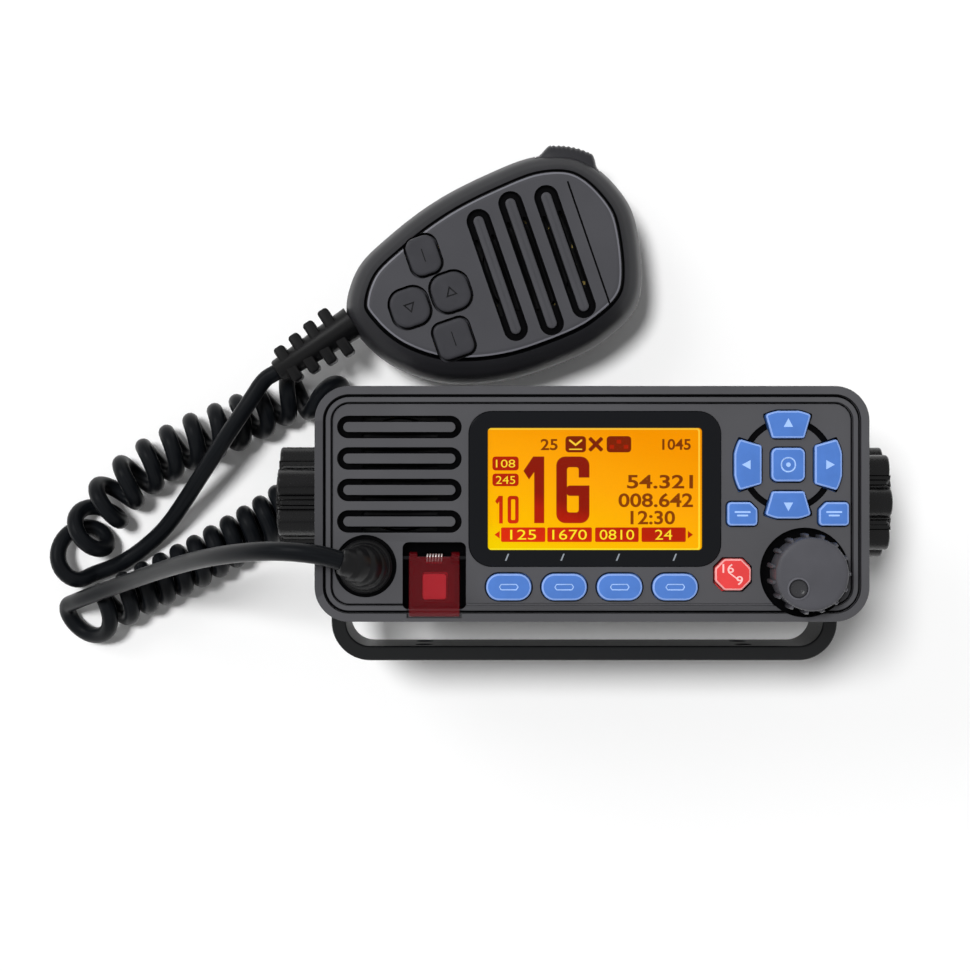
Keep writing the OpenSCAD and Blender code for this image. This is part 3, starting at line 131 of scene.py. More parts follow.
def finish(name, colour, rough, grain=(0.35, 0.012), cloud=(16, 0.08), metal=0.0, specular=0.5,
           stretch=(1, 1, 1)):
    """Surface with a slow change of tone, cloud (size mm, share), and a fine relief, grain (size mm,
    depth mm), which also breaks up the gloss. stretch draws the grain out, as brushing does."""
    mat, tree, bsdf = material(name)
    at = add(tree, "ShaderNodeTexCoord").outputs["Object"]
    base = lin(colour)
    slow = add(tree, "ShaderNodeTexNoise", values={"Scale": 1 / (cloud[0] * MM), "Detail": 3.0},
               links={"Vector": at})
    tone = ramp(tree, slow, [(0.3, shade(base, 1 - cloud[1])), (0.7, shade(base, 1 + cloud[1]))])
    drawn = add(tree, "ShaderNodeMapping", values={"Scale": stretch}, links={"Vector": at})
    fine = add(tree, "ShaderNodeTexNoise", values={"Scale": 1 / (grain[0] * MM), "Detail": 2.0},
               links={"Vector": drawn})
    gloss = add(tree, "ShaderNodeMapRange", values={
        "To Min": max(0.02, rough - GLOSS_SWING), "To Max": rough + GLOSS_SWING}, links={"Value": fine})
    relief = add(tree, "ShaderNodeBump", values={"Strength": 1.0, "Distance": grain[1] * MM},
                 links={"Height": fine})
    feed(tree, bsdf, {"Metallic": metal}, {"Base Color": tone, "Roughness": gloss, "Normal": relief})
    if metal == 0:
        feed(tree, bsdf, {"Specular IOR Level": specular})
    return mat


def display_glow(name, stops, low, high):
    """Backlit liquid crystal: most of its colour is its own light, and it runs from low to high, in mm,
    from the lower left to the upper right."""
    mat, tree, bsdf = material(name)
    at = add(tree, "ShaderNodeTexCoord").outputs["Object"]
    axes = add(tree, "ShaderNodeSeparateXYZ", links={"Vector": at})
    lean = add(tree, "ShaderNodeMath", {"operation": "MULTIPLY_ADD"}, {1: 0.3},
               {0: axes.outputs["X"], 2: axes.outputs["Y"]})
    rise = add(tree, "ShaderNodeMapRange", values={"From Min": low * MM, "From Max": high * MM},
               links={"Value": lean})
    # Faint unevenness of the light guide
    cells = add(tree, "ShaderNodeTexNoise", values={"Scale": 1 / (6 * MM), "Detail": 2.0},
                links={"Vector": at})
    uneven = add(tree, "ShaderNodeMath", {"operation": "MULTIPLY_ADD"}, {1: 0.08}, {0: cells, 2: rise})
    tone = ramp(tree, uneven, [(place_in, lin(colour)) for place_in, colour in stops])
    unlit = add(tree, "ShaderNodeMix", {"data_type": "RGBA"}, {0: GLOW, 7: (0, 0, 0, 1)}, {6: tone})
    feed(tree, bsdf, {"Emission Strength": GLOW, "Roughness": 0.4, "Specular IOR Level": 0.0},
         {"Base Color": unlit.outputs[2], "Emission Color": tone})
    return mat


def see_through(name, colour, rough, alpha):
    """Clear or tinted moulding, thin enough to see what lies behind it."""
    mat, tree, bsdf = material(name)
    at = add(tree, "ShaderNodeTexCoord").outputs["Object"]
    flow = add(tree, "ShaderNodeTexNoise", values={"Scale": 1 / (12 * MM), "Detail": 2.0},
               links={"Vector": at})
    tone = ramp(tree, flow, [(0.3, shade(lin(colour), 0.9)), (0.7, shade(lin(colour), 1.1))])
    feed(tree, bsdf, {"Roughness": rough, "Alpha": alpha}, {"Base Color": tone})
    return mat


def board_finish(name, mask, track):
    """Solder mask over copper tracks, with bare pads."""
    mat, tree, bsdf = material(name)
    at = add(tree, "ShaderNodeTexCoord").outputs["Object"]
    tracks = add(tree, "ShaderNodeTexVoronoi", {"distance": "MANHATTAN", "feature": "DISTANCE_TO_EDGE"},
                 {"Scale": 1 / (4.5 * MM)}, {"Vector": at})
    pads = add(tree, "ShaderNodeTexVoronoi", {"distance": "CHEBYCHEV"}, {"Scale": 1 / (3.2 * MM)},
               {"Vector": at})
    line = ramp(tree, tracks, [
        (0.0, lin(track)), (0.05, lin(track)), (0.08, lin(mask)), (1.0, shade(lin(mask), 1.15))])
    dot = ramp(tree, pads, [(0.0, WHITE), (0.16, WHITE), (0.2, BLACK), (1.0, BLACK)])
    both = add(tree, "ShaderNodeMix", {"data_type": "RGBA"}, {7: lin("#C9B26A")}, {0: dot, 6: line})
    relief = add(tree, "ShaderNodeBump", values={"Strength": 0.6, "Distance": 0.03 * MM},
                 links={"Height": tracks})
    feed(tree, bsdf, {"Roughness": 0.32}, {"Base Color": both.outputs[2], "Normal": relief})
    return mat


def cord_finish(name):
    """Semi-gloss polyurethane jacket: extrusion lines run along it and the gloss wanders."""
    mat, tree, bsdf = material(name)
    uv = add(tree, "ShaderNodeUVMap", {"uv_map": "along"})
    drawn = add(tree, "ShaderNodeMapping", values={"Scale": (1 / (9 * MM), 1 / (0.5 * MM), 1)},
                links={"Vector": uv})
    lines = add(tree, "ShaderNodeTexNoise", values={"Scale": 1.0, "Detail": 3.0}, links={"Vector": drawn})
    tone = ramp(tree, lines, [(0.35, lin("#0B0D10")), (0.7, lin("#131518"))])
    gloss = add(tree, "ShaderNodeMapRange", values={"To Min": 0.28, "To Max": 0.42}, links={"Value": lines})
    relief = add(tree, "ShaderNodeBump", values={"Strength": 1.0, "Distance": 0.012 * MM},
                 links={"Height": lines})
    feed(tree, bsdf, {"Specular IOR Level": 0.13}, {"Base Color": tone, "Roughness": gloss, "Normal": relief})
    return mat


# Spark-eroded ABS of the front panel: dark grey, very fine grain, soft shine
panel_abs = finish("panel_abs", "#4C4C4F", 0.5, (0.3, 0.012), (22, 0.06), specular=0.4)
# Outer rim of the housing: the same ABS, polished in the mould
rim_abs = finish("rim_abs", "#404043", 0.34, (0.3, 0.006), (24, 0.08), specular=0.45)
# Painted shade: near-black colour standing in for the unlit inside of the speaker slots, the key gaps, the
# knob's well, the distress bay and the microphone's grooves and slits
painted_shade_black = finish("painted_shade_black", "#030304", 0.7, (0.3, 0.01), (10, 0.1), specular=0.12)
# Black acrylic round the display, mirror smooth with a faint blue cast
lens_acrylic = finish("lens_acrylic", "#06080D", 0.1, (3, 0.003), (20, 0.1), specular=0.25)
# Pale ink of the marks under the display and on the keys
pale_ink = finish("pale_ink", "#8E949B", 0.6, (0.2, 0.004), (3, 0.05), specular=0.2)
key_ink = finish("key_ink", "#A3C4F8", 0.6, (0.2, 0.004), (3, 0.05), specular=0.2)
# Silicone keys, blue and red, dull with a silky bloom; the paler band round the top edge of each is a painted
# highlight
key_blue = finish("key_silicone_blue", "#4E79C4", 0.5, (0.25, 0.008), (5, 0.05), specular=0.3)
key_blue_edge_highlight = finish("key_silicone_rim_painted_highlight", "#88A8E6", 0.45, (0.25, 0.006), (4, 0.05), specular=0.3)
key_red = finish("key_silicone_red", "#DF4343", 0.5, (0.25, 0.008), (5, 0.05), specular=0.3)
key_red_edge_highlight = finish("key_silicone_red_rim_painted_highlight", "#F2A3A2", 0.45, (0.25, 0.006), (4, 0.05), specular=0.3)
red_key_ink = finish("red_key_ink", "#F8C4C0", 0.6, (0.2, 0.004), (3, 0.05), specular=0.2)
# Soft-touch ABS of the control knob; the rim round its finger dimple is painted paler as a painted highlight,
# and the dimple's smooth inside is painted darker as painted shade
knob_abs = finish("knob_soft_touch", "#4C4C51", 0.42, (0.22, 0.01), (9, 0.08), specular=0.35)
knob_dimple_rim_highlight = finish("knob_dimple_rim_painted_highlight", "#5A5A60", 0.3, (0.3, 0.004), (6, 0.06))
knob_dimple_shaded = finish("knob_dimple_painted_shade", "#2A2A2D", 0.25, (0.5, 0.002), (6, 0.06), specular=0.6)
# Powder-coated die-cast aluminium: satin black with the coat's orange peel
die_cast = finish("die_cast_powder_coat", "#1C1D1F", 0.42, (0.7, 0.035), (26, 0.07), specular=0.35)
# Glass-filled nylon of the bracket and the clamp wheels: black, satin, faint flow marks
bracket_nylon = finish("bracket_nylon", "#121314", 0.34, (0.45, 0.012), (30, 0.12), stretch=(0.3, 1, 1),
                       specular=0.35)
clamp_nylon = finish("clamp_nylon", "#0C0C0D", 0.28, (0.45, 0.01), (14, 0.12), specular=0.35)
# Black nitrile of gaskets, washers and gland, dull
seal_rubber = finish("seal_nitrile", "#131314", 0.62, (0.3, 0.015), (8, 0.1), specular=0.25)
gland_rubber = finish("gland_rubber", "#0B0B0C", 0.36, (0.4, 0.01), (7, 0.12), specular=0.3)
# Zinc-plated steel of screws and studs, with turning marks
steel = finish("zinc_plated_steel", "#BFC2C7", 0.28, (0.12, 0.006), (5, 0.06), metal=1.0, stretch=(1, 1, 5))
pin_steel = finish("pin_blackened_steel", "#2A2A2C", 0.35, (0.12, 0.005), (4, 0.06), metal=1.0)
spring_steel = finish("spring_steel", "#F2E4E2", 0.16, (0.1, 0.003), (2, 0.05), metal=1.0)
# Nickel plate of the antenna socket and its white insulator
nickel_plate = finish("nickel_plate", "#CDCBC4", 0.2, (0.15, 0.004), (6, 0.05), metal=1.0)
ptfe = finish("ptfe_insulator", "#E6E4DC", 0.45, (0.3, 0.006), (4, 0.03))
# Tinned steel can of the amplifier, the capsule and the encoder; paper cone of the speaker
tin_can = finish("tinned_steel_can", "#B9BCC0", 0.32, (0.2, 0.01), (9, 0.08), metal=1.0, stretch=(0.2, 1, 1))
encoder_steel = finish("encoder_zinc_body", "#8F949B", 0.34, (0.2, 0.008), (5, 0.06), metal=1.0)
speaker_frame = finish("speaker_paper_cone", "#161617", 0.7, (0.5, 0.04), (5, 0.15), specular=0.2)
# Grey silicone of the key mat
mat_silicone = finish("mat_silicone", "#505155", 0.6, (0.3, 0.01), (8, 0.06))
# Microphone: face of grained ABS, smoother and darker flanks, back and keys
mic_face_abs = finish("mic_face_abs", "#444448", 0.5, (0.3, 0.014), (20, 0.07), specular=0.4)
mic_flank_abs = finish("mic_flank_abs", "#252528", 0.42, (0.3, 0.01), (20, 0.08), specular=0.35)
# Painted highlight: pale colour on the rounded edge of the microphone's raised face
mic_face_edge_highlight = finish("mic_face_edge_painted_highlight", "#6E6E75", 0.4, (0.3, 0.006), (12, 0.06))
mic_back_abs = finish("mic_back_abs", "#29292C", 0.4, (0.3, 0.012), (20, 0.08), specular=0.35)
mic_key_abs = finish("mic_key_rubber", "#38383C", 0.46, (0.25, 0.008), (6, 0.08), specular=0.35)
mic_key_mark = finish("mic_key_embossed_mark", "#131315", 0.5, (0.25, 0.004), (3, 0.05), specular=0.3)
# Distress cover of tinted polycarbonate, over a bright red key
cover_red = see_through("cover_polycarbonate_red", "#7C0A16", 0.1, 0.3)
distress_red = finish("distress_key_red", "#FF3B48", 0.4, (0.25, 0.006), (4, 0.06), specular=0.3)
# Display: clear window, amber light guide, dark red segments
window_clear = see_through("window_acrylic", "#B08030", 0.06, 0.025)
lcd_amber = display_glow("lcd_amber_backlight", [
    (0.0, "#F6D400"), (0.2, "#FFBE00"), (0.6, "#FFA808"), (1.0, "#F89600")], -20, 26)
lcd_edge = display_glow("lcd_bright_edge", [(0.0, "#FFEC28"), (1.0, "#FFCB3C")], -16, 24)
lcd_digit = display_glow("lcd_dark_red_segment", [
    (0.0, "#B4180C"), (0.25, "#8C120C"), (1.0, "#86140E")], -6, 16)
lcd_tag = display_glow("lcd_red_tag", [(0.0, "#E02A10"), (0.4, "#B81C0A"), (1.0, "#A81C0A")], -16, 16)
lcd_icon = display_glow("lcd_maroon_icon", [(0.0, "#7A1E0A"), (1.0, "#7A1E0A")], -8, 22)
lcd_thin = display_glow("lcd_brown_segment", [(0.0, "#8E4008"), (1.0, "#7A340A")], -8, 22)
# Green mask on the main board, black mask on the boards that show behind the slots
circuit_board = board_finish("circuit_board_green", "#1E5A30", "#3F8A4C")
dark_board = board_finish("circuit_board_black", "#0B0C0D", "#17191B")
cord_jacket = cord_finish("cord_polyurethane")


# ---- Shapes ----
def reworked(mesh, *steps):
    """Runs steps on a mesh's faces and puts the result back."""
    work = bmesh.new()
    work.from_mesh(mesh)
    for step in steps:
        step(work)
    work.to_mesh(mesh)
    work.free()
    return mesh


def outwards(work):
    bmesh.ops.recalc_face_normals(work, faces=work.faces)


def creased(mesh, angle):
    """Smooth shading but for edges sharper than the angle, in degrees."""
    mesh.shade_smooth()
    mesh.set_sharp_from_angle(angle=math.radians(angle))


def to_object(name, mesh, mats, angle=35):
    """Object of a finished mesh, smooth but for edges sharper than the angle."""
    marks = [face.material_index for face in mesh.polygons]
    mesh.materials.clear()
    for mat in mats:
        mesh.materials.append(mat)
    mesh.polygons.foreach_set("material_index", marks)
    creased(mesh, angle)
    return put(name, mesh)


def build(name, verts, faces, mats, bands=None, angle=35, place=None):
    """Object from points in millimetres; bands gives each face its material."""
    mesh = bpy.data.meshes.new(name)
    mesh.from_pydata([Vector(v) * MM for v in verts], [], faces)
    if bands:
        mesh.polygons.foreach_set("material_index", bands)
    reworked(mesh, lambda work: bmesh.ops.remove_doubles(work, verts=work.verts, dist=0.0005 * MM), outwards)
    if place:
        mesh.transform(place)
    return to_object(name, mesh, mats, angle)


def keep(piece):
    """Turns an object's modifiers into its own mesh."""
    bpy.context.view_layer.update()
    graph = bpy.context.evaluated_depsgraph_get()
    mesh = bpy.data.meshes.new_from_object(piece.evaluated_get(graph))
    old = piece.data
    piece.modifiers.clear()
    piece.data = mesh
    bpy.data.meshes.remove(old)
    return piece


def carve(piece, tool, operation="DIFFERENCE"):
    """Cuts, joins or crosses a piece with a tool, which is used up."""
    cut = piece.modifiers.new("carve", "BOOLEAN")
    cut.object, cut.operation, cut.solver, cut.material_mode = tool, operation, "EXACT", "TRANSFER"
    keep(piece)
    bpy.data.objects.remove(tool)
    return piece


def edge(piece, width, segments=2, angle=35):
    """Rounds a piece's sharp edges, as a mould or a die does."""
    bevel = piece.modifiers.new("edge", "BEVEL")
    bevel.width, bevel.segments, bevel.limit_method = width * MM, segments, "ANGLE"
    bevel.angle_limit, bevel.use_clamp_overlap = math.radians(angle), False
    bevel.harden_normals = True
    piece.data.shade_smooth()
    return keep(piece)


def joined(name, pieces):
    """Puts several objects of one body into one mesh."""
    mats, work = [], bmesh.new()
    for piece in pieces:
        start = len(work.faces)
        work.from_mesh(piece.data)
        work.faces.ensure_lookup_table()
        spots = []
        for mat in piece.data.materials:
            if mat not in mats:
                mats.append(mat)
            spots.append(mats.index(mat))
        for face in work.faces[start:]:
            face.material_index = spots[face.material_index] if spots else 0
    mesh = bpy.data.meshes.new(name)
    work.to_mesh(mesh)
    work.free()
    for mat in mats:
        mesh.materials.append(mat)
    for piece in pieces:
        bpy.data.objects.remove(piece)
    return put(name, mesh)


def place(piece, body, slot, *nodes):
    """The piece rides on a body and stands for CAD nodes, which it hides; slot is not used."""
    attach(piece, body)
    if nodes:
        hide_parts(*nodes)
    return piece


def paint(node, mat):
    """Gives a CAD node that stays as it is its material."""
    NODES[node].data.materials.clear()
    NODES[node].data.materials.append(mat)


def merged_copy(node):
    """Mesh of a CAD node with its loose triangles joined into whole faces."""
    return reworked(
        NODES[node].data.copy(),
        lambda work: bmesh.ops.remove_doubles(work, verts=work.verts, dist=0.002 * MM),
        lambda work: bmesh.ops.dissolve_limit(work, angle_limit=math.radians(1.2), verts=work.verts,
                                              edges=work.edges, use_dissolve_boundaries=False))


def soften(node, mats, body, slot, width=0.25, segments=2, angle=35):
    """A CAD node's form with its edges rounded."""
    mesh = merged_copy(node)
    mesh.polygons.foreach_set("material_index", [0] * len(mesh.polygons))
    piece = to_object(node + "_moulded", mesh, mats)
    edge(piece, width, segments, angle)
    return place(piece, body, slot, node)


def offset(outline, inset):
    """A closed anticlockwise outline moved inwards along its normals."""
    p = np.array(outline, float)
    t = np.roll(p, -1, 0) - np.roll(p, 1, 0)
    t /= np.linalg.norm(t, axis=1)[:, None]
    return p + inset * np.stack([-t[:, 1], t[:, 0]], 1)


def loft(name, outline, levels, mats, bands=None, at=(0, 0), turn=0.0, mirror=False, angle=35, place=None):
    """Solid through copies of an outline at levels of (z, inset); bands names the material per level."""
    rings = []
    for z, inset in levels:
        ring = offset(outline, inset)
        if mirror:
            ring = ring[::-1] * (-1, 1)
        ring = ring @ np.array([[math.cos(turn), math.sin(turn)], [-math.sin(turn), math.cos(turn)]])
        rings.append([(x + at[0], y + at[1], z) for x, y in ring])
    n = len(outline)
    verts = [v for ring in rings for v in ring]
    faces = [tuple(range(n))[::-1], tuple((len(levels) - 1) * n + i for i in range(n))]
    marks = [bands[0], bands[-1]] if bands else None
    for k in range(len(levels) - 1):
        for i in range(n):
            j = (i + 1) % n
            faces.append((k * n + i, k * n + j, (k + 1) * n + j, (k + 1) * n + i))
            if bands:
                marks.append(bands[k])
    return build(name, verts, faces, mats, marks, angle, place)


def turned(name, profile, sides, mats, bands=None, place=None, angle=35):
    """Solid of revolution round Z through (radius, height) points, from axis to axis."""
    verts, faces, marks = [], [], []
    if profile[0][0] > 0:
        profile = profile + profile[:1]
    for r, h in profile:
        verts += [(r * math.cos(a), r * math.sin(a), h)
                  for a in (2 * math.pi * i / sides for i in range(sides))]
    for k in range(len(profile) - 1):
        for i in range(sides):
            j = (i + 1) % sides
            quad = [k * sides + i, k * sides + j, (k + 1) * sides + j, (k + 1) * sides + i]
            if profile[k][0] == 0:
                quad = [k * sides, quad[2], quad[3]]
            elif profile[k + 1][0] == 0:
                quad = [quad[0], quad[1], (k + 1) * sides]
            faces.append(tuple(quad))
            marks.append(bands[k] if bands else 0)
    return build(name, verts, faces, mats, marks, angle, place)


def swept(name, points, radii, sides, mats, angle=50):
    """Round tube along points, its rings turned as little as they can be, with a UV map in metres."""
    p = np.array(points, float)
    t = np.gradient(p, axis=0)
    t /= np.linalg.norm(t, axis=1)[:, None]
    side = np.cross(t[0], (0.0, 0.0, 1.0) if abs(t[0][2]) < 0.9 else (1.0, 0.0, 0.0))
    verts, faces = [], []
    along = np.concatenate([[0], np.cumsum(np.linalg.norm(np.diff(p, axis=0), axis=1))])
    for k in range(len(p)):
        side = side - (side @ t[k]) * t[k]
        side /= np.linalg.norm(side)
        up = np.cross(t[k], side)
        for i in range(sides):
            a = 2 * math.pi * i / sides
            verts.append(p[k] + radii[k] * (math.cos(a) * side + math.sin(a) * up))
    last = (len(p) - 1) * sides
    for k in range(len(p) - 1):
        for i in range(sides):
            j = (i + 1) % sides
            faces.append((k * sides + i, k * sides + j, (k + 1) * sides + j, (k + 1) * sides + i))
    faces += [tuple(range(sides))[::-1], tuple(last + i for i in range(sides))]
    mesh = bpy.data.meshes.new(name)
    mesh.from_pydata([Vector(v) * MM for v in verts], [], faces)
    uv = mesh.uv_layers.new(name="along")
    for face in mesh.polygons:
        for corner, loop in enumerate(face.loop_indices):
            vertex = mesh.loops[loop].vertex_index
            step = vertex % sides
            if face.index < (len(p) - 1) * sides and corner in (1, 2) and step == 0:
                step = sides
            uv.data[loop].uv = (along[vertex // sides] * MM, step / sides * 2 * math.pi * radii[0] * MM)
    return to_object(name, reworked(mesh, outwards), mats, angle)


def spline(a, b, c, d, f):
    """Point at share f between b and c on the smooth curve through a, b, c and d."""
    return 0.5 * (2 * b + (c - a) * f + (2 * a - 5 * b + 4 * c - d) * f * f
                  + (3 * b - a - 3 * c + d) * f ** 3)


def curve_through(points, steps):
    """Smooth curve through points, open, with some steps to each span."""
    p = [np.array(q, float) for q in points]
    p = [2 * p[0] - p[1]] + p + [2 * p[-1] - p[-2]]
    return [spline(*p[i - 1:i + 3], k / steps) for i in range(1, len(p) - 2) for k in range(steps)] + [p[-2]]


def arc(cx, cy, r, start, stop, steps):
    return [(cx + r * math.cos(math.radians(start + (stop - start) * k / steps)),
             cy + r * math.sin(math.radians(start + (stop - start) * k / steps)))
            for k in range(steps + 1)]


def rounded(corners, r, steps=8):
    """Convex outline round corner centres in anticlockwise order."""
    out = []
    n = len(corners)
    for i in range(n):
        a, b, c = (Vector(corners[(i + k) % n]) for k in (-1, 0, 1))
        into, away = (b - a).normalized(), (c - b).normalized()
        start = math.degrees(math.atan2(-into.x, into.y))
        turn = -math.degrees(into.angle_signed(away))
        out += arc(b.x, b.y, r, start, start + turn, max(1, math.ceil(abs(turn) / 90 * steps)))
    return out


def box_outline(w, h, r, steps=8):
    x, y = w / 2 - r, h / 2 - r
    return rounded([(-x, -y), (x, -y), (x, y), (-x, y)], r, steps)


# ---- Geometry Nodes: what repeats ----
def node_tree(name, inputs):
    """Geometry node tree with inputs of (name, kind, value), besides its geometry and its material."""
    tree = bpy.data.node_groups.new(name, "GeometryNodeTree")
    for label, kind, value in [("Geometry", "Geometry", None), *inputs, ("Material", "Material", None)]:
        socket = tree.interface.new_socket(label, in_out="INPUT", socket_type="NodeSocket" + kind)
        if value is not None:
            socket.default_value = value
    tree.interface.new_socket("Geometry", in_out="OUTPUT", socket_type="NodeSocketGeometry")
    return tree, tree.nodes.new("NodeGroupInput").outputs, tree.nodes.new("NodeGroupOutput")


def close_tree(tree, given, out, copies):
    """Ends a tree in Realize Instances and Set Material."""
    real = add(tree, "GeometryNodeRealizeInstances", links={"Geometry": copies})
    painted = add(tree, "GeometryNodeSetMaterial", links={"Geometry": real, "Material": given["Material"]})
    feed(tree, out, links={"Geometry": painted})
    return tree


def ring_tree():
    """Repeats the piece Count times round Z at a Radius, each turned to face outwards."""
    tree, given, out = node_tree("repeat_round_axis", [("Count", "Int", 7), ("Radius", "Float", 0.01)])
    line = add(tree, "GeometryNodeMeshLine", links={"Count": given["Count"]})
    index = add(tree, "GeometryNodeInputIndex")
    part = add(tree, "ShaderNodeMath", {"operation": "DIVIDE"}, links={0: index, 1: given["Count"]})
    turn = add(tree, "ShaderNodeMath", {"operation": "MULTIPLY"}, {1: 2 * math.pi}, {0: part})
    cos = add(tree, "ShaderNodeMath", {"operation": "COSINE"}, links={0: turn})
    sin = add(tree, "ShaderNodeMath", {"operation": "SINE"}, links={0: turn})
    unit = add(tree, "ShaderNodeCombineXYZ", links={"X": cos, "Y": sin})
    spot = add(tree, "ShaderNodeVectorMath", {"operation": "SCALE"},
               links={0: unit, "Scale": given["Radius"]})
    points = add(tree, "GeometryNodeSetPosition", links={"Geometry": line, "Position": spot})
    facing = add(tree, "ShaderNodeCombineXYZ", links={"Z": turn})
    copies = add(tree, "GeometryNodeInstanceOnPoints", links={
        "Points": points, "Instance": given["Geometry"], "Rotation": facing})
    return close_tree(tree, given, out, copies)


def spots_tree():
    """Sets the Item on each of the piece's points, as screws in their holes."""
    tree, given, out = node_tree("set_on_points", [("Item", "Object", None)])
    item = add(tree, "GeometryNodeObjectInfo", links={"Object": given["Item"]})
    copies = add(tree, "GeometryNodeInstanceOnPoints", links={
        "Points": given["Geometry"], "Instance": item.outputs["Geometry"]})
    return close_tree(tree, given, out, copies)


def helix_tree():
    """Round wire wound into a helix along Z: a spring, or the crest of a thread."""
    tree, given, out = node_tree("wound_wire", [
        ("Turns", "Float", 5.0), ("Radius", "Float", 0.002), ("Height", "Float", 0.005),
        ("Wire", "Float", 0.0003), ("Steps", "Int", 40), ("Sides", "Int", 10)])
    path = add(tree, "GeometryNodeCurveSpiral", links={
        "Resolution": given["Steps"], "Rotations": given["Turns"], "Start Radius": given["Radius"],
        "End Radius": given["Radius"], "Height": given["Height"]})
    wire = add(tree, "GeometryNodeCurvePrimitiveCircle", links={
        "Resolution": given["Sides"], "Radius": given["Wire"]})
    tube = add(tree, "GeometryNodeCurveToMesh", values={"Fill Caps": True}, links={
        "Curve": path, "Profile Curve": wire})
    return close_tree(tree, given, out, tube)


TREES = {"ring": ring_tree(), "spots": spots_tree(), "helix": helix_tree()}


def grow(piece, kind, sizes, place=None):
    """Runs a geometry node tree on a piece with the sizes given by input name, and keeps the result."""
    run = piece.modifiers.new(kind, "NODES")
    run.node_group = TREES[kind]
    for item in TREES[kind].interface.items_tree:
        if item.in_out == "INPUT" and item.name in sizes:
            run[item.identifier] = sizes[item.name]
    keep(piece)
    if place:
        piece.data.transform(place)
    creased(piece.data, 40)
    return piece


def seed_object(name, points=()):
    """Bare points in millimetres for a tree to work on."""
    mesh = bpy.data.meshes.new(name)
    mesh.from_pydata([Vector(p) * MM for p in points], [], [])
    return put(name, mesh)


# ---- Cord: one length from the radio's gland to the microphone's relief ----
CORD_D = 5.5
GLAND_TIP, GLAND_DIR = np.array([-71.78, -16.05, 122.69]), np.array([-0.9237, 0.2824, 0.2588])
RELIEF_TIP, RELIEF_DIR = np.array([-99.6, 42.8, 24.5]), np.array([-0.8372, -0.547, 0.0])
# Points along the two leads, as in the CAD source
RADIO_ROUTE = [
    (-84.5, -13.4, 124.4), (-94, -13.2, 120), (-105, -14.6, 108), (-113, -16, 96), (-121, -18, 82),
    (-128.5, -20.1, 67.5), (-135.5, -22.2, 54.5), (-142.5, -24.5, 42.5), (-150, -27, 31),
    (-162.5, -31.4, 19.7)]
MIC_ROUTE = [
    (-108, 33.5, 25.5), (-113.6, 25.5, 25), (-119.8, 16.5, 23), (-126.2, 7.5, 18.5), (-132.8, -1.5, 12.5),
    (-139, -9.5, 7.2), (-146.5, -15.7, 4), (-154.5, -21.5, 3.3)]
# Points under the middle of the curls, with their pitch, radius and lean
COIL_ROUTE = [np.array(q, float) for q in (
    (-168.5, -41.5), (-158, -36), (-144, -28.5), (-130, -21.5), (-116, -13.5), (-103, -5.5), (-91, 3),
    (-81.5, 13), (-78, 24.5), (-84.5, 35), (-97, 35.5), (-112, 27.5), (-129, 20.5), (-144, 12),
    (-157, 0.5), (-167.5, -16))]
COIL_PITCH = [(0, 12.5), (0.9, 11), (1.4, 8), (2, 6.7), (5.6, 6.5), (6.4, 8.6), (7, 13.5), (9.2, 14),
              (9.8, 11), (10.6, 8.5), (13, 8.5), (14.2, 10.4), (15, 11)]
COIL_R = [(0, 7.4), (0.6, 7), (1.2, 6.1), (5, 6.1), (9, 6.3), (11, 6.6), (14, 6.6), (15, 7)]
COIL_LEAN = [(0, 50), (0.4, 44), (1, 24), (1.8, 14), (5.5, 10), (7, 0), (9, -6), (11, -18), (13, -18),
             (14, 2), (14.6, 34), (15, 62)]
CURLS, CURL_STEPS, COIL_START, FLOOR_GAP = 27, 32, 10, 0.05


def along(table, u):
    return float(np.interp(u, [a for a, _ in table], [b for _, b in table]))


def route_at(u):
    last = len(COIL_ROUTE) - 1
    i = int(max(0, min(math.floor(u), last - 1)))
    b, c = COIL_ROUTE[i], COIL_ROUTE[i + 1]
    a = COIL_ROUTE[i - 1] if i > 0 else 2 * b - c
    d = COIL_ROUTE[i + 2] if i < last - 1 else 2 * c - b
    return spline(a, b, c, d, u - i)


def curl_points():
    """Left-handed helix that leans as it lies, each curl resting on the floor."""
    u, turn, points = 0.0, math.radians(COIL_START), []
    for _ in range(CURLS * CURL_STEPS + 1):
        centre, rate = route_at(u), (route_at(u + 0.01) - route_at(u - 0.01)) / 0.02
        speed = np.linalg.norm(rate)
        hx, hy = rate / speed
        r, lean = along(COIL_R, u), math.radians(along(COIL_LEAN, u))
        middle = np.array([centre[0], centre[1], CORD_D / 2 + FLOOR_GAP + r * math.cos(lean)])
        side = np.array([-hy, hx, 0])
        up = np.array([hx * math.sin(lean), hy * math.sin(lean), math.cos(lean)])
        points.append(middle + r * (math.cos(turn) * side + math.sin(turn) * up))
        u += along(COIL_PITCH, u) / CURL_STEPS / speed
        turn -= 2 * math.pi / CURL_STEPS
    return points


def eased_line(points, rounds=40):
    """Evens out a lead's bends, less and less towards its ends, which stay."""
    p = np.array(points)
    place_in = np.arange(1, len(p) - 1)
    share = np.clip(np.minimum(place_in, len(p) - 1 - place_in) / 16, 0, 1)[:, None] ** 2
    for _ in range(rounds):
        p[1:-1] += share * (p[:-2] - 2 * p[1:-1] + p[2:]) / 4
    return list(p)


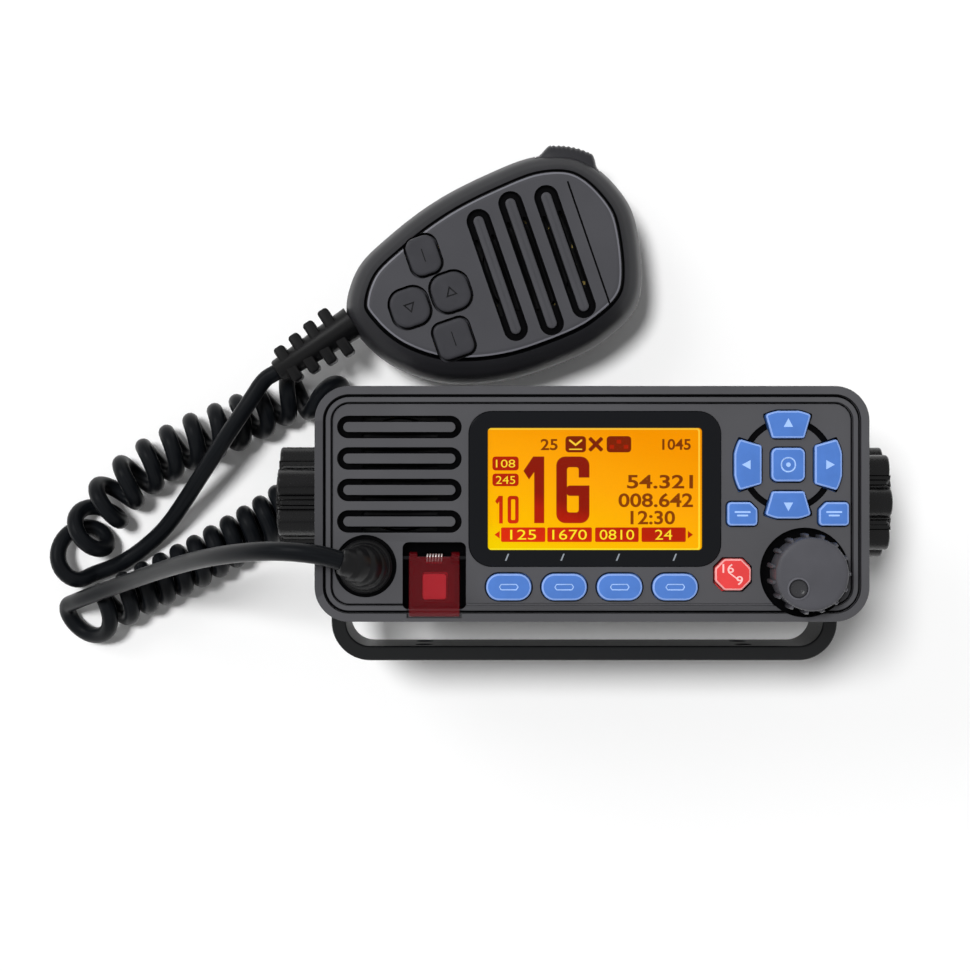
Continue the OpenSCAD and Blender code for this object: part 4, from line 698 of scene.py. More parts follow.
curls = curl_points()
curl_in = (curls[1] - curls[0]) / np.linalg.norm(curls[1] - curls[0])
curl_out = (curls[-1] - curls[-2]) / np.linalg.norm(curls[-1] - curls[-2])
radio_lead = eased_line(curve_through(
    [GLAND_TIP, GLAND_TIP + CORD_D * GLAND_DIR, *RADIO_ROUTE, curls[0] - CORD_D * curl_in, curls[0]], 8))
mic_lead = eased_line(curve_through(
    [RELIEF_TIP, RELIEF_TIP + CORD_D * RELIEF_DIR, *MIC_ROUTE, curls[-1] + CORD_D * curl_out, curls[-1]], 8))
cord_line = radio_lead[:-1] + curls + mic_lead[-2::-1]
cord = swept("cord", cord_line, [CORD_D / 2] * len(cord_line), 16, [cord_jacket])
place(cord, "radio", "cord_rubber", "radio_lead", "curly_cord", "mic_lead")


# ---- Front panel, lens and display ----
housing = soften("front_housing", [panel_abs, painted_shade_black, rim_abs], "radio", "front_panel", 0.1)
# Centre of the knob's well and its radius, the distress bay, and half sizes of the sunk face and of the rim
KNOB_SPOT, WELL_R = (61.5, -19.8), 13.6
BAY_SPOT, BAY_HALF = (-45.5, -20), (9.5, 11)
FACE_HALF, RIM_HALF = (73, 27.8), (74.4, 29.2)
# Everything sunk in the face gets painted shade: the slots, the gaps round the keys, the knob's well and the
# bay are coloured near-black for the shade inside them
for face in housing.data.polygons:
    x, y, z = face.center / MM
    sunk = (abs(x - BAY_SPOT[0]) < BAY_HALF[0] and abs(y - BAY_SPOT[1]) < BAY_HALF[1]
            or abs(x) < FACE_HALF[0] and abs(y) < FACE_HALF[1]
            or math.hypot(x - KNOB_SPOT[0], y - KNOB_SPOT[1]) < WELL_R)
    if Z_PLATE - 3 < z < Z_PANEL - 0.15 and sunk:
        face.material_index = 1
    elif abs(x) > RIM_HALF[0] or abs(y) > RIM_HALF[1]:
        face.material_index = 2
soften("lens_frame", [lens_acrylic], "radio", "lens_black", 0.25, 3)
LENS_SPOT = (0.9, 4.3)
# Slanted ticks above the soft keys
TICK = [(-0.7, -1.0), (-0.25, -1.0), (0.55, 1.0), (0.1, 1.0)]


def sheet_of(name, outline, z, mats, at=(0, 0), thick=0.06, **more):
    """Thin printed or lit patch standing a hair above z."""
    return loft(name, outline, [(z, 0), (z + thick, 0)], mats, at=at, **more)


ticks = [sheet_of("tick", TICK, Z_LENS_TOP, [pale_ink], (x, -15.4)) for x in (-24.4, -8.4, 7.6, 24.0)]
place(joined("lens_ticks", ticks), "radio", "lens_black")

soften("lcd_window", [window_clear], "radio", "window", 0.2, 2)
lcd = loft("lcd_light_guide", box_outline(65.3, 38.7, 1.5), [
    (103.2, 0.2), (103.4, 0), (108.8, 0), (Z_LCD, 0.2)], [lcd_amber], at=LENS_SPOT)
lcd_foot = loft("lcd_foot", box_outline(55.5, 28.9, 1.5), [(99.65, 0), (103.3, 0)], [speaker_frame],
                at=LENS_SPOT)
place(joined("lcd_module_body", [lcd, lcd_foot]), "radio", "lcd", "lcd_module")


DIGIT_THICK = 0.05


def digits(name, text, x0, x1, y0, y1, z, mat, bold=0.0):
    """Plain numbers stretched into a rectangle, as thin raised segments."""
    curve = bpy.data.curves.new(name, "FONT")
    curve.body, curve.offset, curve.resolution_u = text, bold, 4
    piece = put(name, curve)
    bpy.context.view_layer.update()
    mesh = bpy.data.meshes.new_from_object(piece.evaluated_get(bpy.context.evaluated_depsgraph_get()))
    bpy.data.objects.remove(piece)

    def stretch(work):
        bmesh.ops.remove_doubles(work, verts=work.verts, dist=1e-5)
        lo = [min(v.co[k] for v in work.verts) for k in (0, 1)]
        hi = [max(v.co[k] for v in work.verts) for k in (0, 1)]
        for v in work.verts:
            v.co.x = (x0 + (v.co.x - lo[0]) / (hi[0] - lo[0]) * (x1 - x0)) * MM
            v.co.y = (y0 + (v.co.y - lo[1]) / (hi[1] - lo[1]) * (y1 - y0)) * MM
            v.co.z = z * MM
        for v in bmesh.ops.extrude_face_region(work, geom=work.faces[:])["geom"]:
            if isinstance(v, bmesh.types.BMVert):
                v.co.z += DIGIT_THICK * MM

    reworked(mesh, stretch, outwards)
    return to_object(name, mesh, [mat], 30)


def patch(name, x0, x1, y0, y1, r, mat, z=Z_LCD, thick=0.05):
    middle = ((x0 + x1) / 2, (y0 + y1) / 2)
    return sheet_of(name, box_outline(x1 - x0, y1 - y0, r, 4), z, [mat], middle, thick)


def frame_of(name, x0, x1, y0, y1, wall, r, mat, gap=None):
    """Rounded frame of a liquid-crystal digit, open over gap where that is given as (x0, x1, y0, y1)."""
    piece = patch(name, x0, x1, y0, y1, r, mat)
    inner = max(0.1, r - wall * 0.6)
    carve(piece, patch("inside", x0 + wall, x1 - wall, y0 + wall, y1 - wall, inner, mat, Z_LCD - 1, 3))
    if gap:
        carve(piece, patch("gap", *gap, 0.05, mat, Z_LCD - 1, 3))
    return piece


def one(name, x0, x1, y0, y1, stem, mat):
    """Figure 1 with its flag."""
    flag = stem * 1.15
    points = [(x1 - stem, y0), (x1, y0), (x1, y1), (x1 - stem * 1.1, y1), (x0, y1 - flag * 1.25),
              (x0 + stem * 0.55, y1 - flag * 2), (x1 - stem, y1 - flag * 1.35)]
    return sheet_of(name, points, Z_LCD, [mat])


# Bright line where the light guide ends
lit_edge = patch("lit_edge", -30.4, 31.4, -13.4, 21.9, 0.8, lcd_edge, Z_LCD, 0.06)
carve(lit_edge, patch("lit_inside", -30.05, 30.95, -12.95, 21.45, 0.6, lcd_edge, Z_LCD - 1, 3))
# Big 16: the six is a frame with a bar across it and an opening at its upper right
BIG_Y0, BIG_Y1, BIG_WALL = -5.6, 13.7, 3.1
six = frame_of("six_frame", -10.2, -0.6, BIG_Y0, BIG_Y1, BIG_WALL, 2.6, lcd_digit, (-4.2, 0.5, 5.3, 7.6))
segments = [
    one("big_one", -19.7, -13.7, BIG_Y0, BIG_Y1, 2.9, lcd_digit), six,
    patch("six_bar", -7.2, -0.7, 2.3, 5.3, 0.9, lcd_digit, Z_LCD, 0.055),
    one("small_one", -27.9, -25.7, -5.7, 2.3, 1.05, lcd_tag),
    frame_of("small_nought", -24.3, -21.1, -5.7, 2.3, 1.0, 0.9, lcd_tag),
    patch("upper_tag", -28.7, -21.1, 9.65, 13.7, 0.9, lcd_tag),
    patch("lower_tag", -28.7, -21.1, 5.1, 8.75, 0.9, lcd_tag),
    *[digits("small_number", text, *spot, Z_LCD, lcd_thin, 0.02) for text, *spot in (
        ("25", -14.7, -9.8, 15.5, 18.8), ("1045", 20.5, 28.75, 15.6, 18.8), ("54.321", 10.3, 29.4, 4.4, 8.4),
        ("008.642", 7.8, 29.4, -1.0, 3.1), ("12:30", 11.3, 24.2, -6.0, -2.0))]]
# Message box with its flap, a pair of crossed bars and a chequered box
FLAP = [(-1.9, 1.3), (-1.5, 1.3), (0, 0.1), (1.5, 1.3), (1.9, 1.3), (1.9, 0.9), (0, -0.6), (-1.9, 0.9)][::-1]
CROSSED, CROSS_SPOT, Z_OVER = box_outline(5.2, 1.1, 0.3, 3), (1.25, 17.25), Z_LCD + 0.06
segments += [
    patch("message_box", -7.55, -1.6, 14.9, 19.6, 1.0, lcd_icon),
    sheet_of("message_flap", FLAP, Z_OVER, [lcd_edge], (-4.6, 17.3)),
    sheet_of("message_line", box_outline(3.8, 0.35, 0.1, 2), Z_OVER, [lcd_edge], (-4.6, 15.8)),
    sheet_of("crossed_bar", CROSSED, Z_LCD, [lcd_icon], CROSS_SPOT, turn=math.radians(45)),
    sheet_of("crossed_bar_2", CROSSED, Z_LCD, [lcd_icon], CROSS_SPOT, 0.07, turn=math.radians(-45)),
    patch("chequer_box", 4.4, 11.5, 14.9, 19.6, 1.0, lcd_icon)]
for k in range(3):
    segments.append(sheet_of("chequer", box_outline(1.3, 1.1, 0.1, 2), Z_OVER, [lcd_tag],
                             (5.9 + 2.05 * k, 16.5 + 1.5 * (k % 2))))
BARS = [(-26.2, -13.4, "125"), (-12.8, 0.1, "1670"), (1.05, 13.65, "0810"), (14.5, 27.3, "24")]
for x0, x1, text in BARS:
    segments.append(patch("bar", x0, x1, -11.05, -6.85, 0.4, lcd_tag))
    middle, half = (x0 + x1) / 2, 1.25 * len(text)
    segments.append(digits("bar_number", text, middle - half, middle + half, -10.4, -7.5, Z_OVER, lcd_edge))
for text, y in (("108", 10.5), ("245", 5.75)):
    segments.append(digits("tag_number", text, -27.7, -22.1, y, y + 2.3, Z_OVER, lcd_edge))
for s, x in ((-1, -27.35), (1, 28.65)):
    arrow = [(-0.75 * s, -1.1), (0.75 * s, 0), (-0.75 * s, 1.1)]
    segments.append(sheet_of("page_arrow", arrow[::s], Z_LCD, [lcd_tag], (x, -8.95)))
place(joined("display_segments", segments + [lit_edge]), "radio", "lcd")


# ---- Keys ----
# Levels of a key: flange under the plate, straight side, rounded shoulder painted paler as a painted
# highlight, flat top
def key_levels(flange):
    low, top = Z_KEY_LOW, Z_KEY_TOP
    return [(low, -flange), (low + 1.1, -flange), (low + 1.1, 0), (top - 0.62, 0), (top - 0.4, 0.04),
            (top - 0.2, 0.14), (top - 0.06, 0.32), (top, 0.58)]


# Material per level: the shoulder's levels take the paler colour of the painted highlight
KEY_BANDS = [0, 0, 0, 0, 1, 1, 1, 0]


def key(node, outline, flange, mats, ink, marks, at, turn=0.0, mirror=False):
    """Silicone key with its printed marks, each an outline or a ring of (outline, width)."""
    cap = loft(node + "_cap", outline, key_levels(flange), mats, KEY_BANDS, at, turn, mirror, 30)
    pieces, more = [cap], {"at": at, "turn": turn, "mirror": mirror}
    for mark in marks:
        pieces.append(loft("mark", mark[0], [(Z_KEY_TOP - 0.2, 0), (Z_KEY_TOP + 0.04, 0)], [ink], **more))
        if len(mark) == 2:
            hole = [(Z_KEY_TOP - 1, mark[1]), (Z_KEY_TOP + 1, mark[1])]
            carve(pieces[-1], loft("hole", mark[0], hole, [ink], **more))
    slot = "key_red" if mats[0] == key_red else "key_blue"
    return place(joined(node + "_moulded", pieces), node, slot, node)


def moved(outline, dx, dy):
    return [(x + dx, y + dy) for x, y in outline]


def arrow_outline(half):
    """Arrow key pointing up: a wedge with rounded corners, its outer side bent as the ring is."""
    reach, inner, r, taper, fuller = 15.9, 7.6, 0.85, 1.8, 0.65
    low, high, bend = inner + r, reach - r - 0.3, reach - r
    x, y = half - taper + fuller, low
    run = high - low
    # Where the slanting side meets the circle of the outer corners' centres
    a, b, c = taper ** 2 + run ** 2, 2 * (x * taper + y * run), x * x + y * y - bend * bend
    t = (-b + math.sqrt(b * b - 4 * a * c)) / (2 * a)
    start, stop = math.atan2(y + run * t, x + taper * t), math.acos(math.sqrt(bend ** 2 - high ** 2) / bend)
    turns = [start + (stop - start) * k / 4 for k in range(5)]
    right = [(bend * math.cos(turn), bend * math.sin(turn)) for turn in turns]
    return rounded([(-x, low), (x, low), *right, *[(-px, py) for px, py in right[::-1]]], r, 12)


CROSS_X, CROSS_Y, SOFT_PITCH = 56.6, 11.3, 16
BLUE = [key_blue, key_blue_edge_highlight]
soft = box_outline(13.15, 7.8, 3.85, 14)
pill = rounded([(-2.1, -0.62), (2.1, -0.62), (2.5, 0), (2.1, 0.62), (-2.1, 0.62), (-2.5, 0)], 0.3, 4)
for i in range(4):
    key(f"soft_key_{i + 1}", soft, 1.0, BLUE, key_ink, [(pill, 0.3)], (SOFT_PITCH * (i - 1.5), -24))
triangle = moved([(-1.35, -1.0), (1.35, -1.0), (0, 1.5)], 0, 11.9)
for i, name in enumerate(("up_key", "right_key", "down_key", "left_key")):
    key(name, arrow_outline((5.2, 6.1)[i % 2]), 0.75, BLUE, key_ink, [(triangle,)], (CROSS_X, CROSS_Y),
        -math.radians(90 * i))
key("ok_key", box_outline(9.8, 9.8, 1.8, 8), 0.75, BLUE, key_ink,
    [(box_outline(4.4, 4.4, 2.1, 12), 0.42), (box_outline(1.3, 1.3, 0.6, 8),)], (CROSS_X, CROSS_Y))
corner = rounded([(-3.2, -2.25), (3.2, -2.25), (3.2, 0.85), (1.8, 2.25), (-3.2, 2.25)], 1.2, 8)
for name, side in (("corner_key_left", -1), ("corner_key_right", 1)):
    bars = [(moved(box_outline(4.6 - 1.4 * k, 0.5, 0.2, 3), 0, 0.55 - 1.0 * k),) for k in range(2)]
    key(name, corner, 0.75, BLUE, key_ink, bars, (CROSS_X + 13.2 * side, CROSS_Y - 14.2), mirror=side > 0)
RED_X, RED_Y, RED_CUT, RED_R = 10.5 / 2, 9.2 / 2, 2.75, 1.3
cx, cy, cut = RED_X - RED_R, RED_Y - RED_R, RED_CUT - RED_R * 0.586
red = rounded([(-cx + cut, -cy), (cx - cut, -cy), (cx, -cy + cut), (cx, cy - cut),
               (cx - cut, cy), (-cx + cut, cy), (-cx, cy - cut), (-cx, -cy + cut)], RED_R, 10)
key("red_channel_key", red, 0.75, [key_red, key_red_edge_highlight], red_key_ink, [], (40.65, -20.4))
red_marks = joined("red_key_numbers", [
    digits("sixteen", "16", 37.6, 40.9, -19.9, -17.3, Z_KEY_TOP, red_key_ink, 0.01),
    digits("nine", "9", 41.6, 43.5, -23.4, -20.8, Z_KEY_TOP, red_key_ink, 0.01),
    sheet_of("stroke", box_outline(4.2, 0.35, 0.1, 2), Z_KEY_TOP, [red_key_ink], (40.9, -20.9),
             turn=math.radians(-38))])
place(red_marks, "red_channel_key", "key_red")


# ---- Control knob ----
KNOB_AT = shift(*KNOB_SPOT, 112.7)
KNOB_H = 12.9
knob = turned("knob_shell", [
    (3.1, 10.5), (3.1, 2.8), (4.9, 2.8), (4.9, 10.5), (8.4, 10.5), (8.4, 0.3), (8.8, 0), (10.0, 0),
    (10.4, 0.4), (10.4, KNOB_H - 1.1), (10.28, KNOB_H - 0.65), (9.95, KNOB_H - 0.25), (9.3, KNOB_H - 0.03),
    (8.6, KNOB_H), (0, KNOB_H), (0, 10.5)], 96, [knob_abs], place=KNOB_AT)
DIMPLE_AT = KNOB_AT @ shift(-4, -4, KNOB_H)
# Rim round the finger dimple, painted paler: painted highlight
carve(knob, turned("dimple_rim", [(0, -0.6), (3.2, -0.6), (3.2, 0.2), (3.08, 0.32), (2.9, 0.35), (2.75, 0.33),
                                  (0, 0.33)], 64, [knob_dimple_rim_highlight], place=DIMPLE_AT), "UNION")
BOWL_R, BOWL_DEEP = 2.7, 1.1
bowl = [(0, -BOWL_DEEP)] + [(BOWL_R * math.sin(a), 0.35 - (BOWL_DEEP + 0.35) * math.cos(a))
                            for a in (math.radians(q) for q in range(8, 91, 8))]
# Bowl of the dimple, painted darker: painted shade
carve(knob, turned("dimple_bowl", bowl + [(BOWL_R + 0.02, 0.36), (BOWL_R + 0.1, 2), (0, 2)], 64, [knob_dimple_shaded],
                   place=DIMPLE_AT))
creased(knob.data, 35)
rib = loft("grip_rib", rounded([(-0.6, -0.3), (0.8, -0.3), (0.8, 0.3), (-0.6, 0.3)], 0.38, 4),
           [(0.2, 0.25), (0.6, 0), (KNOB_H - 4, 0), (KNOB_H - 3, 0.14), (KNOB_H - 2.5, 0.34)], [knob_abs])
grow(rib, "ring", {"Count": 15, "Radius": 10.3 * MM, "Material": knob_abs}, KNOB_AT)
place(joined("control_knob_moulded", [knob, rib]), "knob", "knob_plastic", "control_knob")
paint("encoder_shaft", steel)
paint("encoder_plunger", encoder_steel)
paint("encoder_body", encoder_steel)


# ---- Distress key, its cover, pin and spring ----
soften("distress_key", [distress_red], "distress_key", "distress_red", 0.3, 3)
soften("distress_cover", [cover_red], "distress_cover", "cover_red", 0.25, 3)
soften("cover_hinge_pin", [pin_steel], "radio", "steel", 0.1, 2)
SPRING_AT = shift(-48.0, -15.6, 108.7) @ Matrix.Rotation(math.pi / 2, 4, "Y")
spring = seed_object("cover_spring_wire")
grow(spring, "helix", {"Turns": 6.0, "Radius": 1.5 * MM, "Height": 5 * MM, "Wire": 0.3 * MM,
                       "Material": spring_steel}, SPRING_AT)
place(spring, "radio", "spring_steel", "cover_spring")


# ---- Cord gland on the panel ----
GLAND_X, GLAND_Y, GLAND_BEND_Z = -65.4, -18.0, 114.0
GLAND_TURN, GLAND_TILT, GLAND_RINGS, GLAND_R, GLAND_TIP_R = math.radians(163), 75, 60, 6.9, 4.0
gland_way = np.array([math.cos(GLAND_TURN), math.sin(GLAND_TURN), 0])
gland_points, gland_radii = [], []
for k in range(GLAND_RINGS + 1):
    a = math.radians(GLAND_TILT * k / GLAND_RINGS)
    gland_points.append(np.array([GLAND_X, GLAND_Y, GLAND_BEND_Z]) + 9 * (
        (1 - math.cos(a)) * gland_way + np.array([0, 0, math.sin(a)])))
    # Four broad steps, each with a soft shoulder
    f = k / GLAND_RINGS * 4
    step = min(3, int(f))
    within = f - step
    shoulder = 0.5 * max(0, within - 0.72) / 0.28
    gland_radii.append(GLAND_R - (GLAND_R - GLAND_TIP_R) * (step + 0.25 * within) / 3.25 - shoulder)
boot = swept("gland_boot", gland_points, gland_radii, 40, [gland_rubber], angle=60)
boot_base = turned("gland_base", [
    (0, 104.2), (5.8, 104.2), (5.8, 106.1), (4.5, 106.1), (4.5, 109.7), (7.8, 109.7), (7.8, 112.6),
    (7.6, 113.4), (7.1, 113.95), (6.6, 114.2), (0, 114.2)], 72, [gland_rubber],
    place=shift(GLAND_X, GLAND_Y, 0))
place(joined("cord_gland_boot", [boot, boot_base]), "radio", "cord_rubber", "cord_gland")


# ---- Case, flange, fins and what they hold ----
soften("rear_case", [die_cast], "radio", "die_cast", 0.5, 3)
soften("case_flange", [die_cast], "radio", "die_cast", 0.4, 3)
soften("case_fins", [die_cast], "radio", "die_cast", 0.4, 2)
soften("seam_gasket", [seal_rubber], "radio", "seal_rubber", 0.12, 2)
soften("bracket", [bracket_nylon], "bracket", "bracket_plastic", 0.6, 3)
soften("pivot_washers", [seal_rubber], "radio", "seal_rubber", 0.25, 2)
for side in ("left", "right"):
    soften(side + "_clamp_knob", [clamp_nylon], side + "_clamp", "clamp_plastic", 0.9, 4)
    paint(side + "_clamp_stud", steel)
for node, mat in (("main_board", circuit_board), ("front_board", dark_board), ("mic_board", dark_board),
                  ("amplifier_module", tin_can), ("speaker", speaker_frame), ("mic_speaker", speaker_frame),
                  ("key_mat", mat_silicone), ("mic_capsule", tin_can), ("socket_insulator", ptfe)):
    paint(node, mat)

# Antenna socket: turned body, thread wound round it
SOCKET_AT = shift(38, 0, 0)
socket = turned("antenna_socket_body", [
    (5.2, 12.6), (5.2, 5.6), (5.6, 5.2), (7.0, 5.2), (7.45, 5.7), (7.45, 13.7), (10.2, 13.7), (10.4, 13.9),
    (10.4, 15.8), (10.2, 16.0), (5.5, 16.0), (5.5, 19.8), (2.5, 19.8), (2.5, 12.6)],
    64, [nickel_plate], place=SOCKET_AT)
thread = seed_object("socket_thread")
grow(thread, "helix", {"Turns": 7.0, "Radius": 7.48 * MM, "Height": 6.6 * MM, "Wire": 0.42 * MM,
                       "Sides": 6, "Material": nickel_plate}, SOCKET_AT @ shift(0, 0, 6.2))
place(joined("antenna_socket_turned", [socket, thread]), "radio", "plated", "antenna_socket")
soften("power_gland", [seal_rubber], "radio", "seal_rubber", 0.3, 3)


# Pan-head screws with a cross recess, set in their places by the spots tree
def screw_item(name, head_r, head_t, shank_r, shank_l):
    """A screw whose head hangs below its bearing face at z 0, its shank above."""
    item = turned(name, [
        (0, shank_l), (shank_r, shank_l), (shank_r, 0), (head_r, 0), (head_r, -head_t * 0.45),
        (head_r * 0.86, -head_t * 0.85), (head_r * 0.6, -head_t), (0, -head_t)], 28, [steel])
    for turn in (0, math.pi / 2):
        carve(item, loft("recess", box_outline(head_r * 1.15, head_r * 0.3, 0.05, 2),
                         [(-head_t * 1.4, 0), (-head_t * 0.3, 0)], [steel], turn=turn))
    return item


def screws(node, points, item, place_at=None):
    seeds = seed_object(node + "_set", points)
    grow(seeds, "spots", {"Item": item, "Material": steel}, place_at)
    bpy.data.objects.remove(item)
    place(seeds, "radio", "steel", node)


SCREW_SEAT = 84.0
low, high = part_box("housing_screws")
screws("housing_screws", [(x, y, SCREW_SEAT) for x in (-70.6, 70.6) for y in (-25.6, 25.6)],
       screw_item("housing_screw", 2.8, SCREW_SEAT - low.z / MM, 1.4, min(10.0, high.z / MM - SCREW_SEAT)))


# ---- Microphone ----
MIC_CONTROL = [
    (50.8, 2), (48.5, 17), (40, 29.5), (26, 34.8), (8, 34.3), (-10, 31.5), (-27, 26), (-41, 19), (-49.3, 7),
    (-47.5, -4), (-40, -16), (-27, -26), (-10, -31.5), (8, -32.8), (28, -30.5), (44, -21)]


def mic_outline(steps=12):
    n = len(MIC_CONTROL)
    spans = [[np.array(MIC_CONTROL[(i + k) % n], float) for k in (-1, 0, 1, 2)] for i in range(n)]
    return [tuple(spline(*span, k / steps)) for span in spans for k in range(steps)]


def eased(levels, steps=4):
    """Levels of (z, inset) with smooth steps put between them."""
    return [(float(p[0]), float(p[1])) for p in curve_through(levels, steps)]


# Where the microphone's two shells meet, and how sharp an edge of theirs stays hard
Z_MIC_SEAM, MIC_CREASE = 20.0, 32
MIC = mic_outline()
face_levels = eased([(Z_MIC_SEAM, 0.0), (23.5, 0.22), (27.0, 0.6), (32.0, 2.2), (35.0, 4.6), (36.5, 6.3)], 5)
# The groove between the flank and the raised face is painted near-black as painted shade
front = loft("mic_front", MIC, [(Z_MIC_SEAM, 0.35), (20.15, 0.08)] + face_levels[1:] + [
    (36.75, 6.75), (36.6, 7.1), (36.3, 7.3), (38.0, 7.75), (38.45, 8.0), (38.7, 8.6), (38.8, 9.5)],
    [mic_flank_abs, painted_shade_black, mic_face_edge_highlight, mic_face_abs], [0] * (len(face_levels) + 1) + [1] * 7,
    angle=MIC_CREASE)
# The rounded edge of the raised face is painted pale as a painted highlight, the face itself grained
for face in front.data.polygons:
    if face.center.z > 38.3 * MM:
        face.material_index = 3 if face.center.z > 38.72 * MM else 2
carve(front, loft("mic_front_room", MIC, [(18, 2.25), (27, 2.8), (32, 4.6), (34.4, 7.8)], [mic_back_abs]))
KEY_AT = [(-19.2, 14.1), (-28.8, -0.4), (-14.7, 0.1), (-18.7, -14.6)]
KEY_SIZE = [(9.8, 12.6, 3.4), (12.2, 12.4, 4.6), (12.2, 12.4, 4.6), (11.6, 12, 2.8)]
MIC_KEYS = ["mic_key_top", "mic_key_up", "mic_key_down", "mic_key_bottom"]
KEY_GAP = 0.8
# Each key sits in a hole cut wider than the key, its walls painted near-black as painted shade in the gap
for spot, (w, h, r) in zip(KEY_AT, KEY_SIZE):
    hole = box_outline(w + 2 * KEY_GAP, h + 2 * KEY_GAP, r + KEY_GAP)
    carve(front, loft("hole", hole, [(31.4, 0), (42, 0)], [painted_shade_black], at=spot))
# Grooves as (place, length), each with a bar along its middle and a slit at either side of it; the grooves
# and slits are painted near-black as painted shade
SLOTS = [(1.3, 44.2), (12.9, 48.4), (24.5, 44.6)]
SLOT_W, SLOT_BAR, SLOT_FLOOR = 7.4, 3.4, Z_MIC_FACE - 1.4
for u, length in SLOTS:
    groove = loft("groove", box_outline(SLOT_W, length, SLOT_W / 2 - 0.02, 12), [
        (SLOT_FLOOR, 0.25), (SLOT_FLOOR + 0.3, 0), (Z_MIC_FACE - 0.25, 0), (Z_MIC_FACE, -0.25),
        (Z_MIC_FACE + 1, -0.6)], [painted_shade_black], at=(u, 0.4))
    carve(groove, loft("bar", box_outline(SLOT_BAR, length - SLOT_W + SLOT_BAR, SLOT_BAR / 2 - 0.02, 10), [
        (SLOT_FLOOR - 1, 0), (Z_MIC_FACE - 0.5, 0), (Z_MIC_FACE - 0.2, 0.12), (Z_MIC_FACE - 0.05, 0.4),
        (Z_MIC_FACE, 0.9)], [mic_face_abs], at=(u, 0.4)))
    carve(front, groove)
    for side in (-1, 1):
        spot = (u + side * (SLOT_W + SLOT_BAR) / 4, 0.4)
        carve(front, loft("slit", box_outline(1.0, length - 18, 0.48, 5), [(33.4, 0), (38.4, 0)],
                          [painted_shade_black], at=spot))
# Thin line beside the grooves, painted near-black as painted shade
carve(front, loft("line", box_outline(0.6, 42, 0.2, 3), [(38.2, 0), (40, 0)], [painted_shade_black], at=(32.7, 0.7)))
PTT_AT, PTT_TURN, PTT_W = (37.5, 31.5), math.radians(56), 21.0


def ptt_region(grow_by, z0, z1):
    """Block over the corner where the push-to-talk button sits."""
    x, y = -8 - grow_by, PTT_W / 2 + grow_by
    return loft("ptt_region", [(x, -y), (12, -y), (12, y), (x, y)], [(z0, 0), (z1, 0)], [mic_back_abs],
                at=PTT_AT, turn=PTT_TURN)


carve(front, ptt_region(0.35, 21.65, 31.35))
creased(front.data, MIC_CREASE)
for face in front.data.polygons:
    # The level face keeps its own normals, so it doesn't shade towards its edge
    if face.normal.z > 0.9999:
        face.use_smooth = False
front.data.transform(MIC_PLACE)
place(front, "radio", "mic_front", "mic_front_shell")

back_levels = eased([(8.6, 8.2), (9.4, 5.4), (12.5, 2.4), (16.0, 0.8), (19.7, 0.05)], 5)
back = loft("mic_back", MIC, [(8.0, 9.8), (8.15, 9.0)] + back_levels + [(Z_MIC_SEAM, 0.35)], [mic_back_abs],
            angle=MIC_CREASE)
carve(back, loft("mic_back_room", MIC, [(10.2, 10.0), (12.5, 5.4), (16, 3.2), (22, 2.2)], [mic_back_abs]))
MIC_SCREWS = [(-39, 7), (-33, -12), (28, 21), (30, -20)]
for u, v in MIC_SCREWS:
    carve(back, turned("screw_well", [(0, 5), (3.0, 5), (3.0, 10.4), (1.3, 10.4), (1.3, 14), (0, 14)], 32,
                       [mic_back_abs], place=shift(u, v, 0)))
creased(back.data, MIC_CREASE)
back.data.transform(MIC_PLACE)
place(back, "radio", "mic_back", "mic_rear_shell")

# Keys with raised marks: triangles on the round ones, bars on the outer ones
KEY_MARKS = [[(-0.2, -2.2), (0.2, -2.2), (0.2, 2.2), (-0.2, 2.2)], [(-2.0, 1.4), (0, -2.0), (2.0, 1.4)],
             [(-2.0, -1.4), (2.0, -1.4), (0, 2.0)], [(-0.2, -2.4), (0.2, -2.4), (0.2, 2.4), (-0.2, 2.4)]]
MIC_KEY_LEVELS = [(33.25, -0.6), (34.35, -0.6), (34.35, 0), (39.0, 0), (39.3, 0.1), (39.55, 0.35),
                  (39.68, 0.8), (39.7, 1.4)]
for name, spot, (w, h, r), mark in zip(MIC_KEYS, KEY_AT, KEY_SIZE, KEY_MARKS):
    cap = loft(name + "_cap", box_outline(w, h, r, 10), MIC_KEY_LEVELS, [mic_key_abs], at=spot, angle=30)
    raised = loft(name + "_mark", mark, [(39.6, 0), (39.78, 0.04)], [mic_key_mark], at=spot)
    if len(mark) == 3:
        middle = np.mean(mark, axis=0)
        inner = [tuple(middle + 0.58 * (np.array(q) - middle)) for q in mark]
        carve(raised, loft("mark_inside", inner, [(39, 0), (40.5, 0)], [mic_key_mark], at=spot))
    cap = joined(name + "_moulded", [cap, raised])
    cap.data.transform(MIC_PLACE)
    place(cap, name, "mic_keys", name)

# Push-to-talk button, wrapped round the corner, with a serrated grip
FINE = mic_outline(72)
PTT_OUT, PTT_EASE, TOOTH, TOOTH_DEEP = 3.1, 4.5, 1.5, 0.32
tangent = np.array([-math.sin(PTT_TURN), math.cos(PTT_TURN)])
far = (np.array(FINE) - PTT_AT) @ tangent
reach = np.clip((PTT_W / 2 - np.abs(far)) / PTT_EASE, 0, 1)
swell = PTT_OUT * reach ** 2 * (3 - 2 * reach)
swell -= np.where(reach >= 1, TOOTH_DEEP * (0.5 + 0.5 * np.cos(2 * math.pi * far / TOOTH)), 0)
swell = swell[:, None]
button = loft("ptt_cap", FINE, [
    (22.0, 0.6 - 0.8 * swell), (22.3, 0.35 - 0.92 * swell), (23.0, 0.2 - swell), (26.5, 0.5 - swell),
    (29.7, 1.2 - swell), (30.6, 1.7 - 0.92 * swell), (31.0, 2.3 - 0.8 * swell)], [mic_back_abs])
